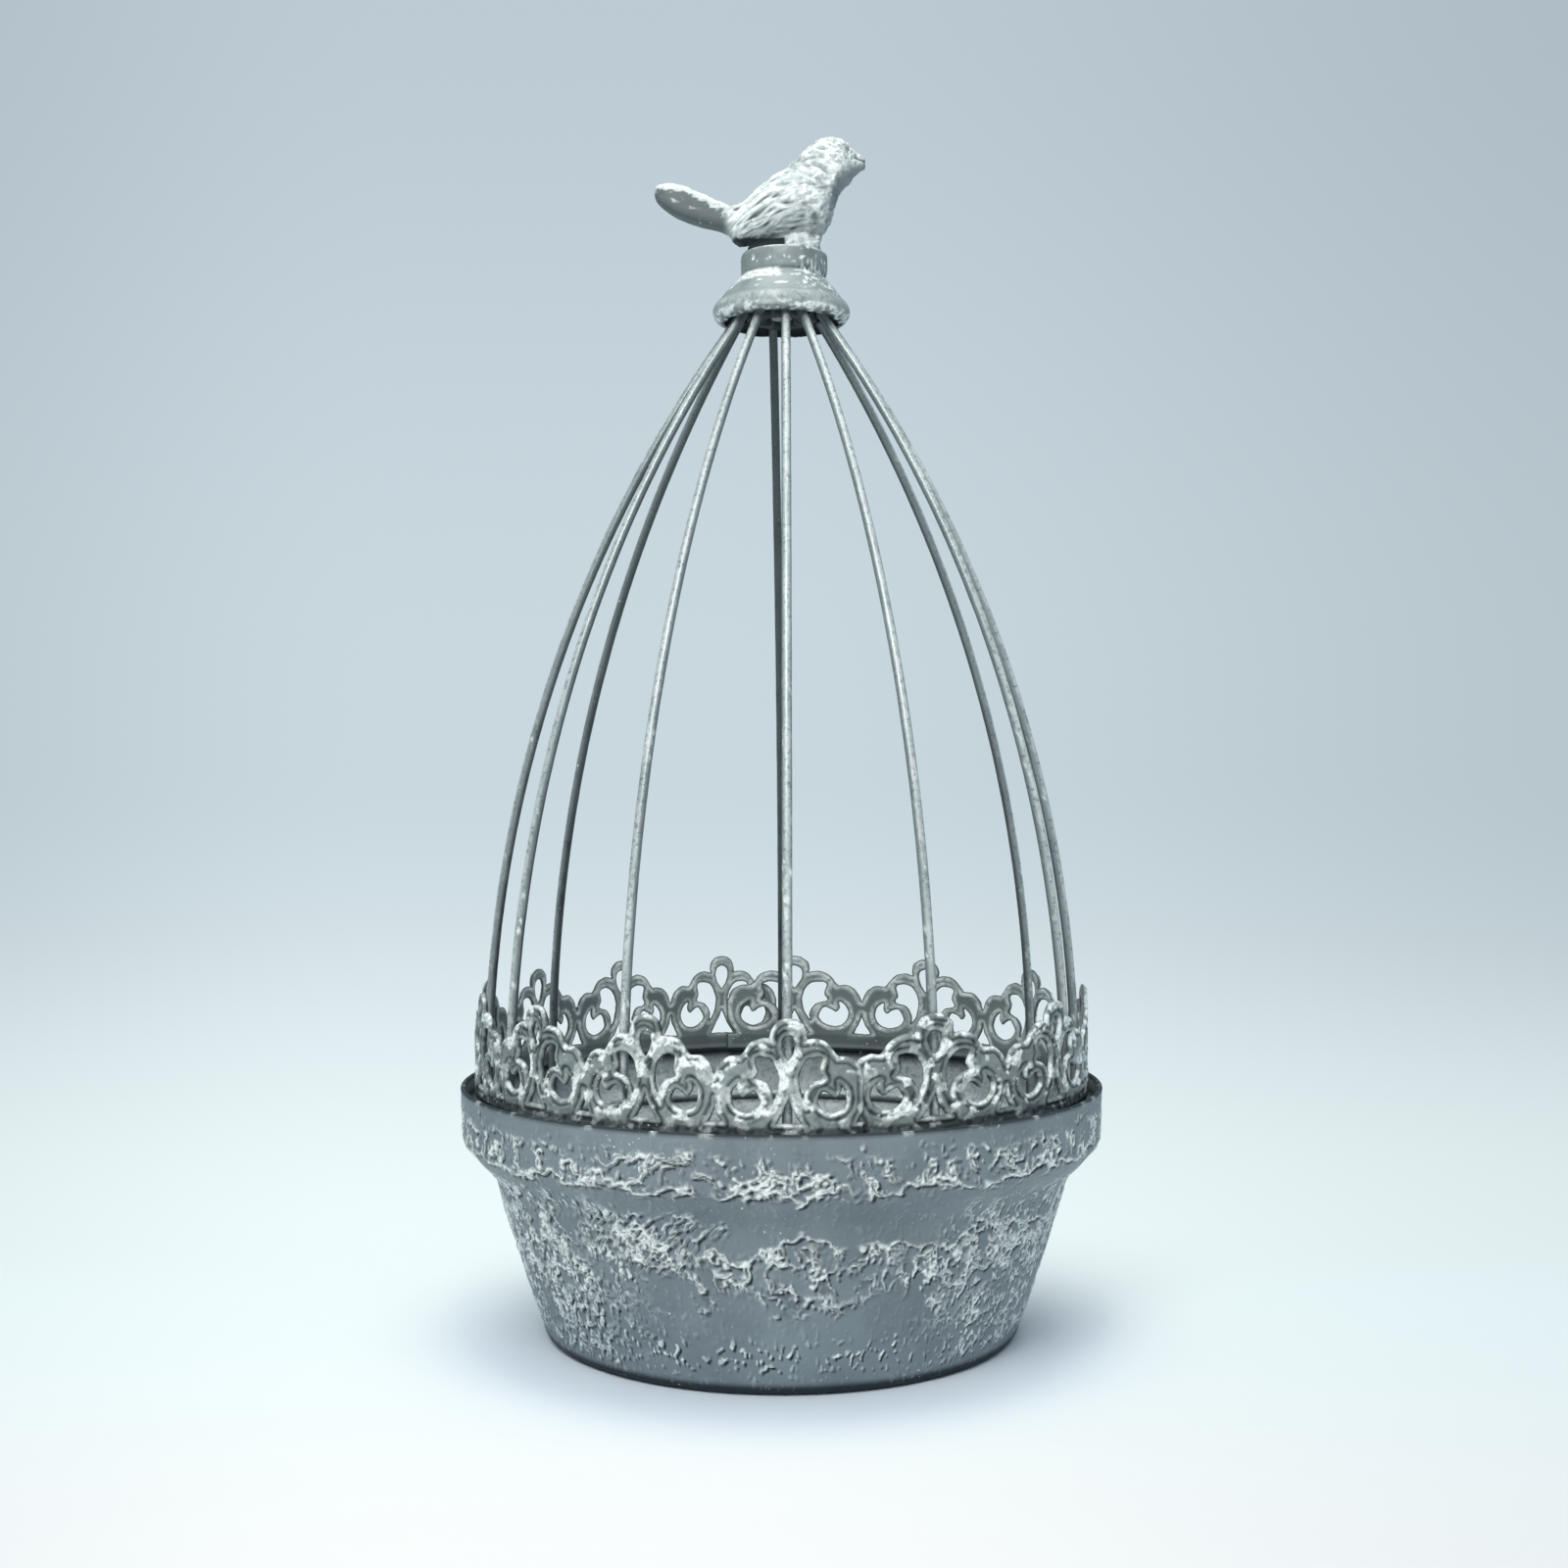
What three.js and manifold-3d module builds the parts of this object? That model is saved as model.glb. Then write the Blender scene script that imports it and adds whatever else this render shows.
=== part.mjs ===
// A birdcage planter: a pressed metal tub with a wire cage that lifts off.
// Ten bent ribs stand on a wire hoop inside the tub, carry a lace band and gather round a hub,
// where a screwed finial holds a bell cap and a cast bird.
// Millimetres, +Z up, origin at the middle of the underside. The front faces -Y and the bird faces +X.
import * as THREE from "three";
import { mergeVertices } from "three/addons/utils/BufferGeometryUtils.js";
import Module from "manifold-3d";

const wasm = await Module();
wasm.setup();

// Fits
const WELD_GAP = 0.3;
const SEAT_GAP = 0.3;
const BORE_CLEARANCE = 0.3;

// Tub
const RIM_RADIUS = 110;
const TUB_HEIGHT = 85;
const SHEET = 1.2;
const BAND_HEIGHT = 17.5;
const BAND_TAPER = 1;
const SHOULDER_HEIGHT = 13.5;
const SHOULDER_STEP = 11;
const SHOULDER_TURN = { across: 1, upper: 2, lower: 3 };
const FOOT_RADIUS = 82;
const FOOT_CORNER = 4;
const BELLY_SWELL = 1.4;
const STANDING_RING_WIDTH = 16;
const BASE_RECESS = 1.2;
const HEM_THICKNESS = 1.8;
const HEM_TURN_DEGREES = 200;
const ROUND_SEGMENTS = 40;

// Wire cage
const WIRE_RADIUS = 1.6;
const CAGE_CLEARANCE = 4.3;
const RIB_BEND_RADIUS = 445;
// Where the ribs stand, in degrees from the front towards +X: placed by hand, with wide gaps beside the
// back one. A swing leans a rib sideways on its foot
const RIBS = [
  { at: -122, swing: -2.2 },
  { at: -88, swing: 0 },
  { at: -59, swing: 0 },
  { at: -28, swing: 0 },
  { at: 1, swing: -0.8 },
  { at: 27, swing: 0 },
  { at: 66, swing: 0 },
  { at: 88, swing: 0 },
  { at: 115, swing: 0 },
  { at: 180, swing: -2 },
];
const WIRE_SIDES = 6;
const RIB_STEPS = 15;

// Lace band: two lengths of stamped strip, one pulled longer than the other, that lap at the back and
// near the front. Angles run from the back towards +X
const LACE_THICKNESS = 1.2;
const LACE_BELOW_RIM = 4;
const LACE_HEIGHT = 37;
const LACE_STRIPS = [
  { name: "lace_strip_right", repeats: 6, repeatDegrees: 30.2, firstPeak: 2.8, way: 1, lapped: false },
  { name: "lace_strip_left", repeats: 8, repeatDegrees: 24, firstPeak: -13.2, way: -1, lapped: true },
];

// Half a repeat of the lace, from the middle of a peak to the valley beside it, drawn on a box of
// this width and height: across from the peak, up from the strip's lower edge
const MOTIF_WIDTH = 22.6;
const MOTIF_HEIGHT = 37.6;
const MOTIF_STRIP = 6.3;
const MOTIF_LOOP = [[0, 37.6], [2.6, 36.9], [4.5, 34.8], [5, 32.2]];
const MOTIF_HOOK = [[4.6, 30.9], [7.8, 31.5], [11.2, 30.2], [13.6, 27]];
const MOTIF_LEAF = [[14.6, 25.9], [18, 25.8], [20.8, 23.6], [22.6, 19.4]];
const MOTIF_HEEL = [[22.6, 14.2], [21.9, 11], [19.6, 6.3]];
const MOTIF_TOE = [[4.6, 6.3], [2, 11], [0, 15.6]];
const MOTIF_TEARDROP = [[0, 24.4], [2, 27.6], [2.6, 30.6], [1.7, 32.9], [0, 33.7]];
const MOTIF_CRESCENT = [
  [10.6, 26.2], [7.6, 27.2], [4.4, 25.6], [2.5, 20.6], [3.3, 15], [5.3, 11.4],
  [5.1, 14.8], [7, 18.2], [10.8, 19.7], [10, 22.4],
];
const MOTIF_EYE = [
  [8, 13], [10, 10.2], [13.2, 9.2], [16.4, 10.4], [18, 13.6], [17.4, 17], [15, 19.2],
  [15.1, 16.8], [13.9, 15], [12.3, 16.2], [9.8, 16.8],
];

// Crown: hub, bell cap and screwed finial
const HUB_RADIUS = 12.5;
const HUB_BELOW_RIBS = 2;
const HUB_CROWN = 2.6;
const EDGE_BREAK = 0.8;
const CAP_MOUTH_CLEARANCE = 1.6;
const CAP_LIP_WALL = 4;
const CAP_LIP_HEIGHT = 8;
const CAP_LIP_DROP = 9.5;
const CAP_LIP_EASE = 0.4;
const CAP_MOUTH_RIM = 3;
const CAP_SEAT_MARGIN = 1.5;
const CAP_FLARE_RISE = 8.6;
const CAP_FLARE_REACH = 3.6;
const CAP_NECK_RADIUS = 14.8;
const CAP_COLLAR_STEP = 0.3;
const CAP_COLLAR_HEIGHT = 7.6;
const CAP_HEIGHT = 24.2;
const CAP_SEGMENTS = 26;
const BOLT_SEGMENTS = 16;
const STUD_RADIUS = 2;
const STUD_IN_BIRD = 10;
const WASHER_RADIUS = 4.5;
const WASHER_THICKNESS = 0.8;
const NUT_ACROSS_FLATS = 7;
const NUT_HEIGHT = 3.2;
const NUT_RECESS = 0.8;
const POCKET_ROOM = 1.5;

// Cast bird: upright stations from tail tip to beak tip, from the middle of the cap's top
const BIRD_STATIONS = [
  { x: -44.2, top: 22.4, bottom: 19.8, wide: 1.6 },
  { x: -42.6, top: 24.0, bottom: 17.5, wide: 3.0 },
  { x: -37.4, top: 24.2, bottom: 13.6, wide: 4.4 },
  { x: -29.0, top: 21.3, bottom: 10.2, wide: 4.7 },
  { x: -22.0, top: 18.4, bottom: 8.5, wide: 4.5 },
  { x: -16.8, top: 17.1, bottom: 6.0, wide: 5.6 },
  { x: -13.8, top: 17.9, bottom: 3.2, wide: 6.8 },
  { x: -8.0, top: 22.7, bottom: 4.2, wide: 8.9 },
  { x: -3.6, top: 26.6, bottom: 4.6, wide: 10.3 },
  { x: 3.2, top: 31.2, bottom: 4.8, wide: 11.4 },
  { x: 8.3, top: 36.2, bottom: 5.2, wide: 11.2 },
  { x: 12.4, top: 39.8, bottom: 5.8, wide: 10.2 },
  { x: 17.0, top: 41.1, bottom: 11.4, wide: 8.8 },
  { x: 20.4, top: 40.2, bottom: 21.2, wide: 7.2 },
  { x: 23.2, top: 38.6, bottom: 24.7, wide: 5.6 },
  { x: 25.6, top: 35.6, bottom: 27.2, wide: 3.8 },
  { x: 27.6, top: 34.4, bottom: 29.0, wide: 2.4 },
  { x: 29.1, top: 32.8, bottom: 30.8, wide: 1.0 },
];
const BIRD_LOFT_STEPS = 31;
const BIRD_SIDES = 16;
const CROWN_NARROWING = 0.22;
const PERCH = { back: -11.5, front: 13.8, halfWidth: 4.6, height: 13 };

const toRadians = THREE.MathUtils.degToRad;

// Solids from three.js geometry, and back again
function solid(geometry) {
  const bare = geometry.index ? geometry.toNonIndexed() : geometry.clone();
  for (const name of Object.keys(bare.attributes)) {
    if (name !== "position") bare.deleteAttribute(name);
  }
  const merged = mergeVertices(bare, 1e-4);
  return new wasm.Manifold(
    new wasm.Mesh({
      numProp: 3,
      vertProperties: merged.attributes.position.array,
      triVerts: new Uint32Array(merged.index.array),
    }),
  );
}

function geometryOf(manifold) {
  const mesh = manifold.getMesh();
  const geometry = new THREE.BufferGeometry();
  geometry.setAttribute("position", new THREE.BufferAttribute(mesh.vertProperties, 3));
  geometry.setIndex(new THREE.BufferAttribute(mesh.triVerts, 1));
  geometry.computeVertexNormals();
  return geometry;
}

// A turned body about Z from its profile of radius and height
function turned(profile, segments) {
  return new THREE.LatheGeometry(profile.map(vector2), segments).rotateX(Math.PI / 2);
}

function cylinder(radius, bottom, top, sides) {
  return new THREE.CylinderGeometry(radius, radius, top - bottom, sides)
    .rotateX(Math.PI / 2)
    .translate(0, 0, (bottom + top) / 2);
}

// Points of an elliptical arc, angles in degrees from the first axis
function arc(center, radii, from, to, steps) {
  return Array.from({ length: steps + 1 }, (_, i) => {
    const angle = toRadians(from + ((to - from) * i) / steps);
    return [center[0] + radii[0] * Math.cos(angle), center[1] + radii[1] * Math.sin(angle)];
  });
}

const vector2 = ([x, y]) => new THREE.Vector2(x, y);

function bezier(from, handle, to, steps) {
  const curve = new THREE.QuadraticBezierCurve(vector2(from), vector2(handle), vector2(to));
  return curve.getPoints(steps).map((p) => [p.x, p.y]);
}

// A line of points moved sideways to its left by a wall thickness
function offsetLine(points, distance) {
  return points.map((point, i) => {
    const before = points[Math.max(i - 1, 0)];
    const after = points[Math.min(i + 1, points.length - 1)];
    const along = new THREE.Vector2(after[0] - before[0], after[1] - before[1]).normalize();
    return [point[0] - along.y * distance, point[1] + along.x * distance];
  });
}

// Tub: one pressed sheet with a recessed base, a stepped shoulder and a hemmed rim
const BAND_FOOT = TUB_HEIGHT - BAND_HEIGHT;
const SHOULDER_FOOT = BAND_FOOT - SHOULDER_HEIGHT;
const BAND_LOW_RADIUS = RIM_RADIUS - BAND_TAPER;
const BODY_TOP_RADIUS = BAND_LOW_RADIUS - SHOULDER_STEP;

function shoulderLine() {
  const turn = SHOULDER_TURN;
  const middle = [BAND_LOW_RADIUS - SHOULDER_STEP / 2, BAND_FOOT - SHOULDER_HEIGHT / 2];
  const upperHandle = [BAND_LOW_RADIUS - turn.across, BAND_FOOT - turn.upper];
  const upper = bezier(middle, upperHandle, [BAND_LOW_RADIUS, BAND_FOOT], 3);
  const lowerHandle = [BODY_TOP_RADIUS + turn.across, SHOULDER_FOOT + turn.lower];
  const lower = bezier([BODY_TOP_RADIUS, SHOULDER_FOOT], lowerHandle, middle, 3);
  return [...lower, ...upper.slice(1)];
}

function tubGeometry() {
  const standingRadius = FOOT_RADIUS - FOOT_CORNER;
  const recessRadius = standingRadius - STANDING_RING_WIDTH;
  const corner = arc([standingRadius, FOOT_CORNER], [FOOT_CORNER, FOOT_CORNER], -90, 0, 3);
  const belly = [
    (FOOT_RADIUS + BODY_TOP_RADIUS) / 2 + BELLY_SWELL,
    (FOOT_CORNER + SHOULDER_FOOT) / 2 + BELLY_SWELL,
  ];
  const side = bezier([FOOT_RADIUS, FOOT_CORNER], belly, [BODY_TOP_RADIUS, SHOULDER_FOOT], 3);
  const hemRadius = HEM_THICKNESS / 2;
  const hemMiddle = [RIM_RADIUS - hemRadius, TUB_HEIGHT - hemRadius];
  const outside = [
    [recessRadius - 2 * BASE_RECESS, BASE_RECESS],
    [recessRadius, 0],
    ...corner,
    ...side.slice(1),
    ...shoulderLine().slice(1),
    [RIM_RADIUS, TUB_HEIGHT - HEM_THICKNESS],
  ];
  const inside = offsetLine(outside, SHEET).reverse();
  const hem = arc(hemMiddle, [hemRadius, hemRadius], 0, HEM_TURN_DEGREES, 4);
  const profile = [
    [0, BASE_RECESS],
    ...outside,
    ...hem,
    ...inside,
    [0, BASE_RECESS + SHEET],
  ];
  return turned(profile, ROUND_SEGMENTS);
}

// Lace and ribs stand in the tub's mouth: rim, clearance, lace, weld and wire from outside in
const LACE_OUTER_RADIUS = RIM_RADIUS - SHEET - CAGE_CLEARANCE;
const RIB_RING_RADIUS = LACE_OUTER_RADIUS - LACE_THICKNESS - WELD_GAP - WIRE_RADIUS;

// Height of the middle of a wire ring that rests in the shoulder, one wire and a seat gap off the sheet
function hoopHeight() {
  const away = SHEET + SEAT_GAP + WIRE_RADIUS;
  const line = offsetLine(shoulderLine(), away);
  const next = line.findIndex(([radius]) => radius > RIB_RING_RADIUS);
  const [low, high] = [line[next - 1], line[next]];
  const share = (RIB_RING_RADIUS - low[0]) / (high[0] - low[0]);
  return low[1] + share * (high[1] - low[1]);
}

const HOOP_HEIGHT = hoopHeight();

function hoopGeometry() {
  return new THREE.TorusGeometry(RIB_RING_RADIUS, WIRE_RADIUS, WIRE_SIDES, ROUND_SEGMENTS);
}

// Rib: a straight leg from the hoop to the rim, then one bend that ends at the hub
class RibCurve extends THREE.Curve {
  constructor(footHeight, bendStart, bendAngle) {
    super();
    this.footHeight = footHeight;
    this.bendStart = bendStart;
    this.leg = bendStart - footHeight;
    this.length = this.leg + RIB_BEND_RADIUS * bendAngle;
  }

  getPoint(t, target = new THREE.Vector3()) {
    const along = t * this.length;
    const angle = Math.max(along - this.leg, 0) / RIB_BEND_RADIUS;
    const radius = RIB_RING_RADIUS - RIB_BEND_RADIUS * (1 - Math.cos(angle));
    const height = Math.min(this.footHeight + along, this.bendStart);
    return target.set(radius, 0, height + RIB_BEND_RADIUS * Math.sin(angle));
  }
}

// The end face leans inwards, so its inner edge is the point that meets the hub
function ribBendAngle() {
  const wall = HUB_RADIUS + WELD_GAP;
  const bendCentre = RIB_BEND_RADIUS - RIB_RING_RADIUS;
  return Math.acos((wall + bendCentre) / (RIB_BEND_RADIUS - WIRE_RADIUS));
}

// How far out the ribs reach at a height on their bend
function ribOuterRadius(height) {
  const outside = RIB_BEND_RADIUS + WIRE_RADIUS;
  return RIB_RING_RADIUS - RIB_BEND_RADIUS + Math.sqrt(outside ** 2 - (height - TUB_HEIGHT) ** 2);
}

function ribGeometry(swing) {
  const foot = HOOP_HEIGHT + WIRE_RADIUS + WELD_GAP;
  const curve = new RibCurve(foot, TUB_HEIGHT, ribBendAngle());
  const section = new THREE.Shape(
    arc([0, 0], [WIRE_RADIUS, WIRE_RADIUS], 0, 360, WIRE_SIDES)
      .slice(1)
      .map(vector2),
  );
  return new THREE.ExtrudeGeometry(section, { steps: RIB_STEPS, extrudePath: curve })
    .translate(-RIB_RING_RADIUS, 0, 0)
    .rotateZ(toRadians(swing))
    .translate(RIB_RING_RADIUS, 0, 0);
}

// Lace
const LACE_BOTTOM = TUB_HEIGHT - LACE_BELOW_RIM;
const halfRepeatAngle = (strip) => toRadians(strip.repeatDegrees) / 2;
const facetSpread = (strip) => 1 / Math.cos(halfRepeatAngle(strip) / 2);
const WIDEST_SPREAD = Math.max(...LACE_STRIPS.map(facetSpread));
const LAP_STEP = LACE_THICKNESS + WELD_GAP + LACE_OUTER_RADIUS * (WIDEST_SPREAD - 1);

function spline(points, steps) {
  return new THREE.SplineCurve(points.map(vector2)).getPoints(steps);
}

// A closed smooth line through its points
function closedSpline(points, steps) {
  const flat = points.map(([x, y]) => new THREE.Vector3(x, y, 0));
  const curve = new THREE.CatmullRomCurve3(flat, true);
  return curve.getPoints(steps).slice(0, -1).map((p) => new THREE.Vector2(p.x, p.y));
}

function motifOutline() {
  const corners = [
    [MOTIF_WIDTH, MOTIF_STRIP],
    [MOTIF_WIDTH, 0],
    [0, 0],
    [0, MOTIF_STRIP],
  ];
  return [
    ...spline(MOTIF_LOOP, 4),
    ...spline(MOTIF_HOOK, 4),
    ...spline(MOTIF_LEAF, 4),
    ...spline(MOTIF_HEEL, 3),
    ...corners.map(vector2),
    ...spline(MOTIF_TOE, 3),
    ...spline(MOTIF_TEARDROP, 5),
  ];
}

// A corner of the folded strip: the edge between two half repeats, at a depth below the outer face
function laceEdge(strip, edge, depth) {
  const edges = 2 * strip.repeats;
  const onLap = strip.lapped && (edge < 2 || edge > edges - 2);
  const flat = LACE_OUTER_RADIUS + (onLap ? LAP_STEP : 0) - depth;
  const turn = toRadians(strip.firstPeak) + strip.way * (edge - 1) * halfRepeatAngle(strip);
  const radius = flat * facetSpread(strip);
  return new THREE.Vector3(radius * Math.sin(turn), radius * Math.cos(turn), LACE_BOTTOM);
}

// The strip folds at each peak and valley. Its two faces share one pattern of triangles, and walls
// close it along every line but the folds
function laceGeometry(strip) {
  const lines = [motifOutline(), closedSpline(MOTIF_CRESCENT, 11), closedSpline(MOTIF_EYE, 13)];
  const faces = THREE.ShapeUtils.triangulateShape(lines[0], lines.slice(1));
  const points = lines.flat();
  const positions = [];
  const halves = 2 * strip.repeats;
  for (let half = 0; half < halves; half += 1) {
    const falling = half % 2 === 1;
    const place = (point, depth) => {
      const share = point.x / MOTIF_WIDTH;
      const from = laceEdge(strip, half, depth);
      const at = from.lerp(laceEdge(strip, half + 1, depth), falling ? share : 1 - share);
      at.z += (point.y * LACE_HEIGHT) / MOTIF_HEIGHT;
      return at;
    };
    const facesOut = falling === (strip.way < 0);
    const addTriangle = (a, b, c, flipped) => {
      for (const corner of flipped ? [a, c, b] : [a, b, c]) positions.push(...corner.toArray());
    };
    for (const face of faces) {
      const corners = face.map((i) => points[i]);
      const flipped = THREE.ShapeUtils.area(corners) < 0 === facesOut;
      addTriangle(...corners.map((p) => place(p, 0)), flipped);
      addTriangle(...corners.map((p) => place(p, LACE_THICKNESS)), !flipped);
    }
    lines.forEach((line, which) => {
      const hole = which > 0;
      const turnsBack = THREE.ShapeUtils.area(line) < 0 !== hole;
      line.forEach((start, i) => {
        const end = line[(i + 1) % line.length];
        const fold = [0, MOTIF_WIDTH].find((x) => start.x === x && end.x === x);
        const atStart = half === 0 && fold === MOTIF_WIDTH;
        const atEnd = half === halves - 1 && fold === MOTIF_WIDTH;
        if (fold !== undefined && !atStart && !atEnd) return;
        const [a, b] = [place(start, 0), place(end, 0)];
        const [c, d] = [place(start, LACE_THICKNESS), place(end, LACE_THICKNESS)];
        const flipped = turnsBack === facesOut;
        addTriangle(a, c, b, flipped);
        addTriangle(b, c, d, flipped);
      });
    });
  }
  const geometry = new THREE.BufferGeometry();
  geometry.setAttribute("position", new THREE.Float32BufferAttribute(positions, 3));
  const joined = mergeVertices(geometry, 1e-4);
  joined.computeVertexNormals();
  return joined;
}

// Crown
const HUB_UNDERSIDE = TUB_HEIGHT + RIB_BEND_RADIUS * Math.sin(ribBendAngle()) - HUB_BELOW_RIBS;
const BORE_RADIUS = STUD_RADIUS + BORE_CLEARANCE;
const NUT_TOP = HUB_UNDERSIDE + NUT_RECESS + NUT_HEIGHT;
const WASHER_TOP = NUT_TOP + SEAT_GAP + WASHER_THICKNESS;
const POCKET_CEILING = WASHER_TOP + SEAT_GAP;
const POCKET_RADIUS = WASHER_RADIUS + POCKET_ROOM;
const HUB_TOP = POCKET_CEILING + HUB_CROWN;
const CAP_SEAT = HUB_TOP + SEAT_GAP;
const CAP_BOTTOM = CAP_SEAT - CAP_LIP_DROP;
const CAP_TOP = CAP_BOTTOM + CAP_HEIGHT;
const CAP_MOUTH_RADIUS = ribOuterRadius(CAP_BOTTOM) + CAP_MOUTH_CLEARANCE;
const CAP_LIP_RADIUS = CAP_MOUTH_RADIUS + CAP_LIP_WALL;
const CAP_COLLAR_RADIUS = CAP_NECK_RADIUS + CAP_COLLAR_STEP;

function hubGeometry() {
  const profile = [
    [POCKET_RADIUS, HUB_UNDERSIDE],
    [HUB_RADIUS - EDGE_BREAK, HUB_UNDERSIDE],
    [HUB_RADIUS, HUB_UNDERSIDE + EDGE_BREAK],
    [HUB_RADIUS, HUB_TOP],
    [BORE_RADIUS, HUB_TOP],
    [BORE_RADIUS, POCKET_CEILING],
    [POCKET_RADIUS, POCKET_CEILING],
    [POCKET_RADIUS, HUB_UNDERSIDE],
  ];
  return turned(profile, CAP_SEGMENTS);
}

// A bell with a rolled lip, a hollow mouth that takes the hub and the rib ends, and a collar on top
function capGeometry() {
  const lipRound = CAP_LIP_HEIGHT / 2;
  const lipMiddle = [CAP_LIP_RADIUS - lipRound, CAP_BOTTOM + lipRound];
  const neckHeight = CAP_TOP - CAP_COLLAR_HEIGHT;
  const lip = arc(lipMiddle, [lipRound, lipRound], -90, 60, 6);
  const flareTop = [CAP_NECK_RADIUS, neckHeight - EDGE_BREAK];
  const flareHandle = [CAP_NECK_RADIUS + CAP_FLARE_REACH, lipMiddle[1] + CAP_FLARE_RISE];
  const flare = bezier(lip[lip.length - 1], flareHandle, flareTop, 4);
  const profile = [
    [CAP_MOUTH_RADIUS, CAP_BOTTOM + CAP_LIP_EASE],
    ...lip,
    ...flare.slice(1),
    [CAP_COLLAR_RADIUS, neckHeight + EDGE_BREAK],
    [CAP_COLLAR_RADIUS, CAP_TOP - EDGE_BREAK],
    [CAP_COLLAR_RADIUS - EDGE_BREAK, CAP_TOP],
    [BORE_RADIUS, CAP_TOP],
    [BORE_RADIUS, CAP_SEAT],
    [HUB_RADIUS + CAP_SEAT_MARGIN, CAP_SEAT],
    [CAP_MOUTH_RADIUS, CAP_BOTTOM + CAP_MOUTH_RIM],
    [CAP_MOUTH_RADIUS, CAP_BOTTOM + CAP_LIP_EASE],
  ];
  return turned(profile, CAP_SEGMENTS);
}

// Bird: a loft of egg-shaped sections from tail to beak, over the perch block under its breast
function loftGeometry(stations, steps, sides) {
  const along = new THREE.CatmullRomCurve3(stations.map((s) => new THREE.Vector3(s.x, s.top, s.bottom)));
  const girth = new THREE.CatmullRomCurve3(stations.map((s) => new THREE.Vector3(s.x, s.wide, 0)));
  const positions = [];
  const index = [];
  for (let step = 0; step <= steps; step += 1) {
    const { x, y: top, z: bottom } = along.getPoint(step / steps);
    const wide = girth.getPoint(step / steps).y;
    for (let side = 0; side < sides; side += 1) {
      const angle = (2 * Math.PI * side) / sides;
      const rise = Math.sin(angle);
      const across = wide * Math.cos(angle) * (1 - CROWN_NARROWING * rise);
      positions.push(x, across, (top + bottom) / 2 + (rise * (top - bottom)) / 2);
    }
  }
  for (let step = 0; step < steps; step += 1) {
    for (let side = 0; side < sides; side += 1) {
      const a = step * sides + side;
      const b = step * sides + ((side + 1) % sides);
      index.push(a, b, a + sides, b, b + sides, a + sides);
    }
  }
  const last = steps * sides;
  for (let side = 1; side < sides - 1; side += 1) {
    index.push(0, side + 1, side, last, last + side, last + side + 1);
  }
  const geometry = new THREE.BufferGeometry();
  geometry.setAttribute("position", new THREE.Float32BufferAttribute(positions, 3));
  geometry.setIndex(index);
  return geometry;
}

function perchGeometry() {
  const { back, front, halfWidth, height } = PERCH;
  const outline = [
    ...arc([front - halfWidth, 0], [halfWidth, halfWidth], -90, 90, 6),
    ...arc([back + halfWidth, 0], [halfWidth, halfWidth], 90, 270, 6),
  ].map(vector2);
  return new THREE.ExtrudeGeometry(new THREE.Shape(outline), { depth: height, bevelEnabled: false });
}

function birdGeometry() {
  const body = solid(loftGeometry(BIRD_STATIONS, BIRD_LOFT_STEPS, BIRD_SIDES));
  const bore = solid(cylinder(BORE_RADIUS, -PERCH.height, STUD_IN_BIRD + BORE_CLEARANCE, BOLT_SEGMENTS));
  const bird = body.add(solid(perchGeometry())).subtract(bore);
  return geometryOf(bird);
}

const BIRD_SEAT = CAP_TOP + SEAT_GAP;

function studGeometry() {
  return cylinder(STUD_RADIUS, NUT_TOP - NUT_HEIGHT, BIRD_SEAT + STUD_IN_BIRD, BOLT_SEGMENTS);
}

function washerGeometry() {
  const bottom = WASHER_TOP - WASHER_THICKNESS;
  const profile = [
    [BORE_RADIUS, bottom],
    [WASHER_RADIUS, bottom],
    [WASHER_RADIUS, WASHER_TOP],
    [BORE_RADIUS, WASHER_TOP],
    [BORE_RADIUS, bottom],
  ];
  return turned(profile, BOLT_SEGMENTS);
}

function nutGeometry() {
  const corner = NUT_ACROSS_FLATS / Math.sqrt(3);
  const block = solid(cylinder(corner, NUT_TOP - NUT_HEIGHT, NUT_TOP, 6));
  const bore = solid(cylinder(BORE_RADIUS, NUT_TOP - 2 * NUT_HEIGHT, NUT_TOP + NUT_HEIGHT, BOLT_SEGMENTS));
  return geometryOf(block.subtract(bore));
}

// Finishes
function paint(color, roughness, metalness) {
  return new THREE.MeshStandardMaterial({ color, roughness, metalness });
}

const GREY_WASH = { color: 0x76828a, roughness: 0.62, metalness: 0.2 };
const PALE_WASH = { color: 0xa9b4ba, roughness: 0.6, metalness: 0.2 };
const ZINC = { color: 0x8c8f91, roughness: 0.4, metalness: 0.9 };

function piece(name, geometry, finish) {
  const mesh = new THREE.Mesh(geometry, paint(finish.color, finish.roughness, finish.metalness));
  mesh.name = name;
  return mesh;
}

const planter = new THREE.Group();
planter.add(piece("tub", tubGeometry(), GREY_WASH));

const cage = new THREE.Group();
const hoop = piece("base_hoop", hoopGeometry(), GREY_WASH);
hoop.position.z = HOOP_HEIGHT;
cage.add(hoop);

RIBS.forEach(({ at, swing }, i) => {
  const rib = piece("rib_" + String(i + 1).padStart(2, "0"), ribGeometry(swing), GREY_WASH);
  rib.rotation.z = toRadians(at - 90);
  cage.add(rib);
});

for (const strip of LACE_STRIPS) {
  cage.add(piece(strip.name, laceGeometry(strip), GREY_WASH));
}
cage.add(piece("crown_hub", hubGeometry(), GREY_WASH));
cage.add(piece("bell_cap", capGeometry(), GREY_WASH));
const bird = piece("bird", birdGeometry(), PALE_WASH);
bird.position.z = BIRD_SEAT;
cage.add(bird);
cage.add(piece("finial_stud", studGeometry(), ZINC));
cage.add(piece("finial_washer", washerGeometry(), ZINC));
cage.add(piece("finial_nut", nutGeometry(), ZINC));
planter.add(cage);

export default planter;
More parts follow.
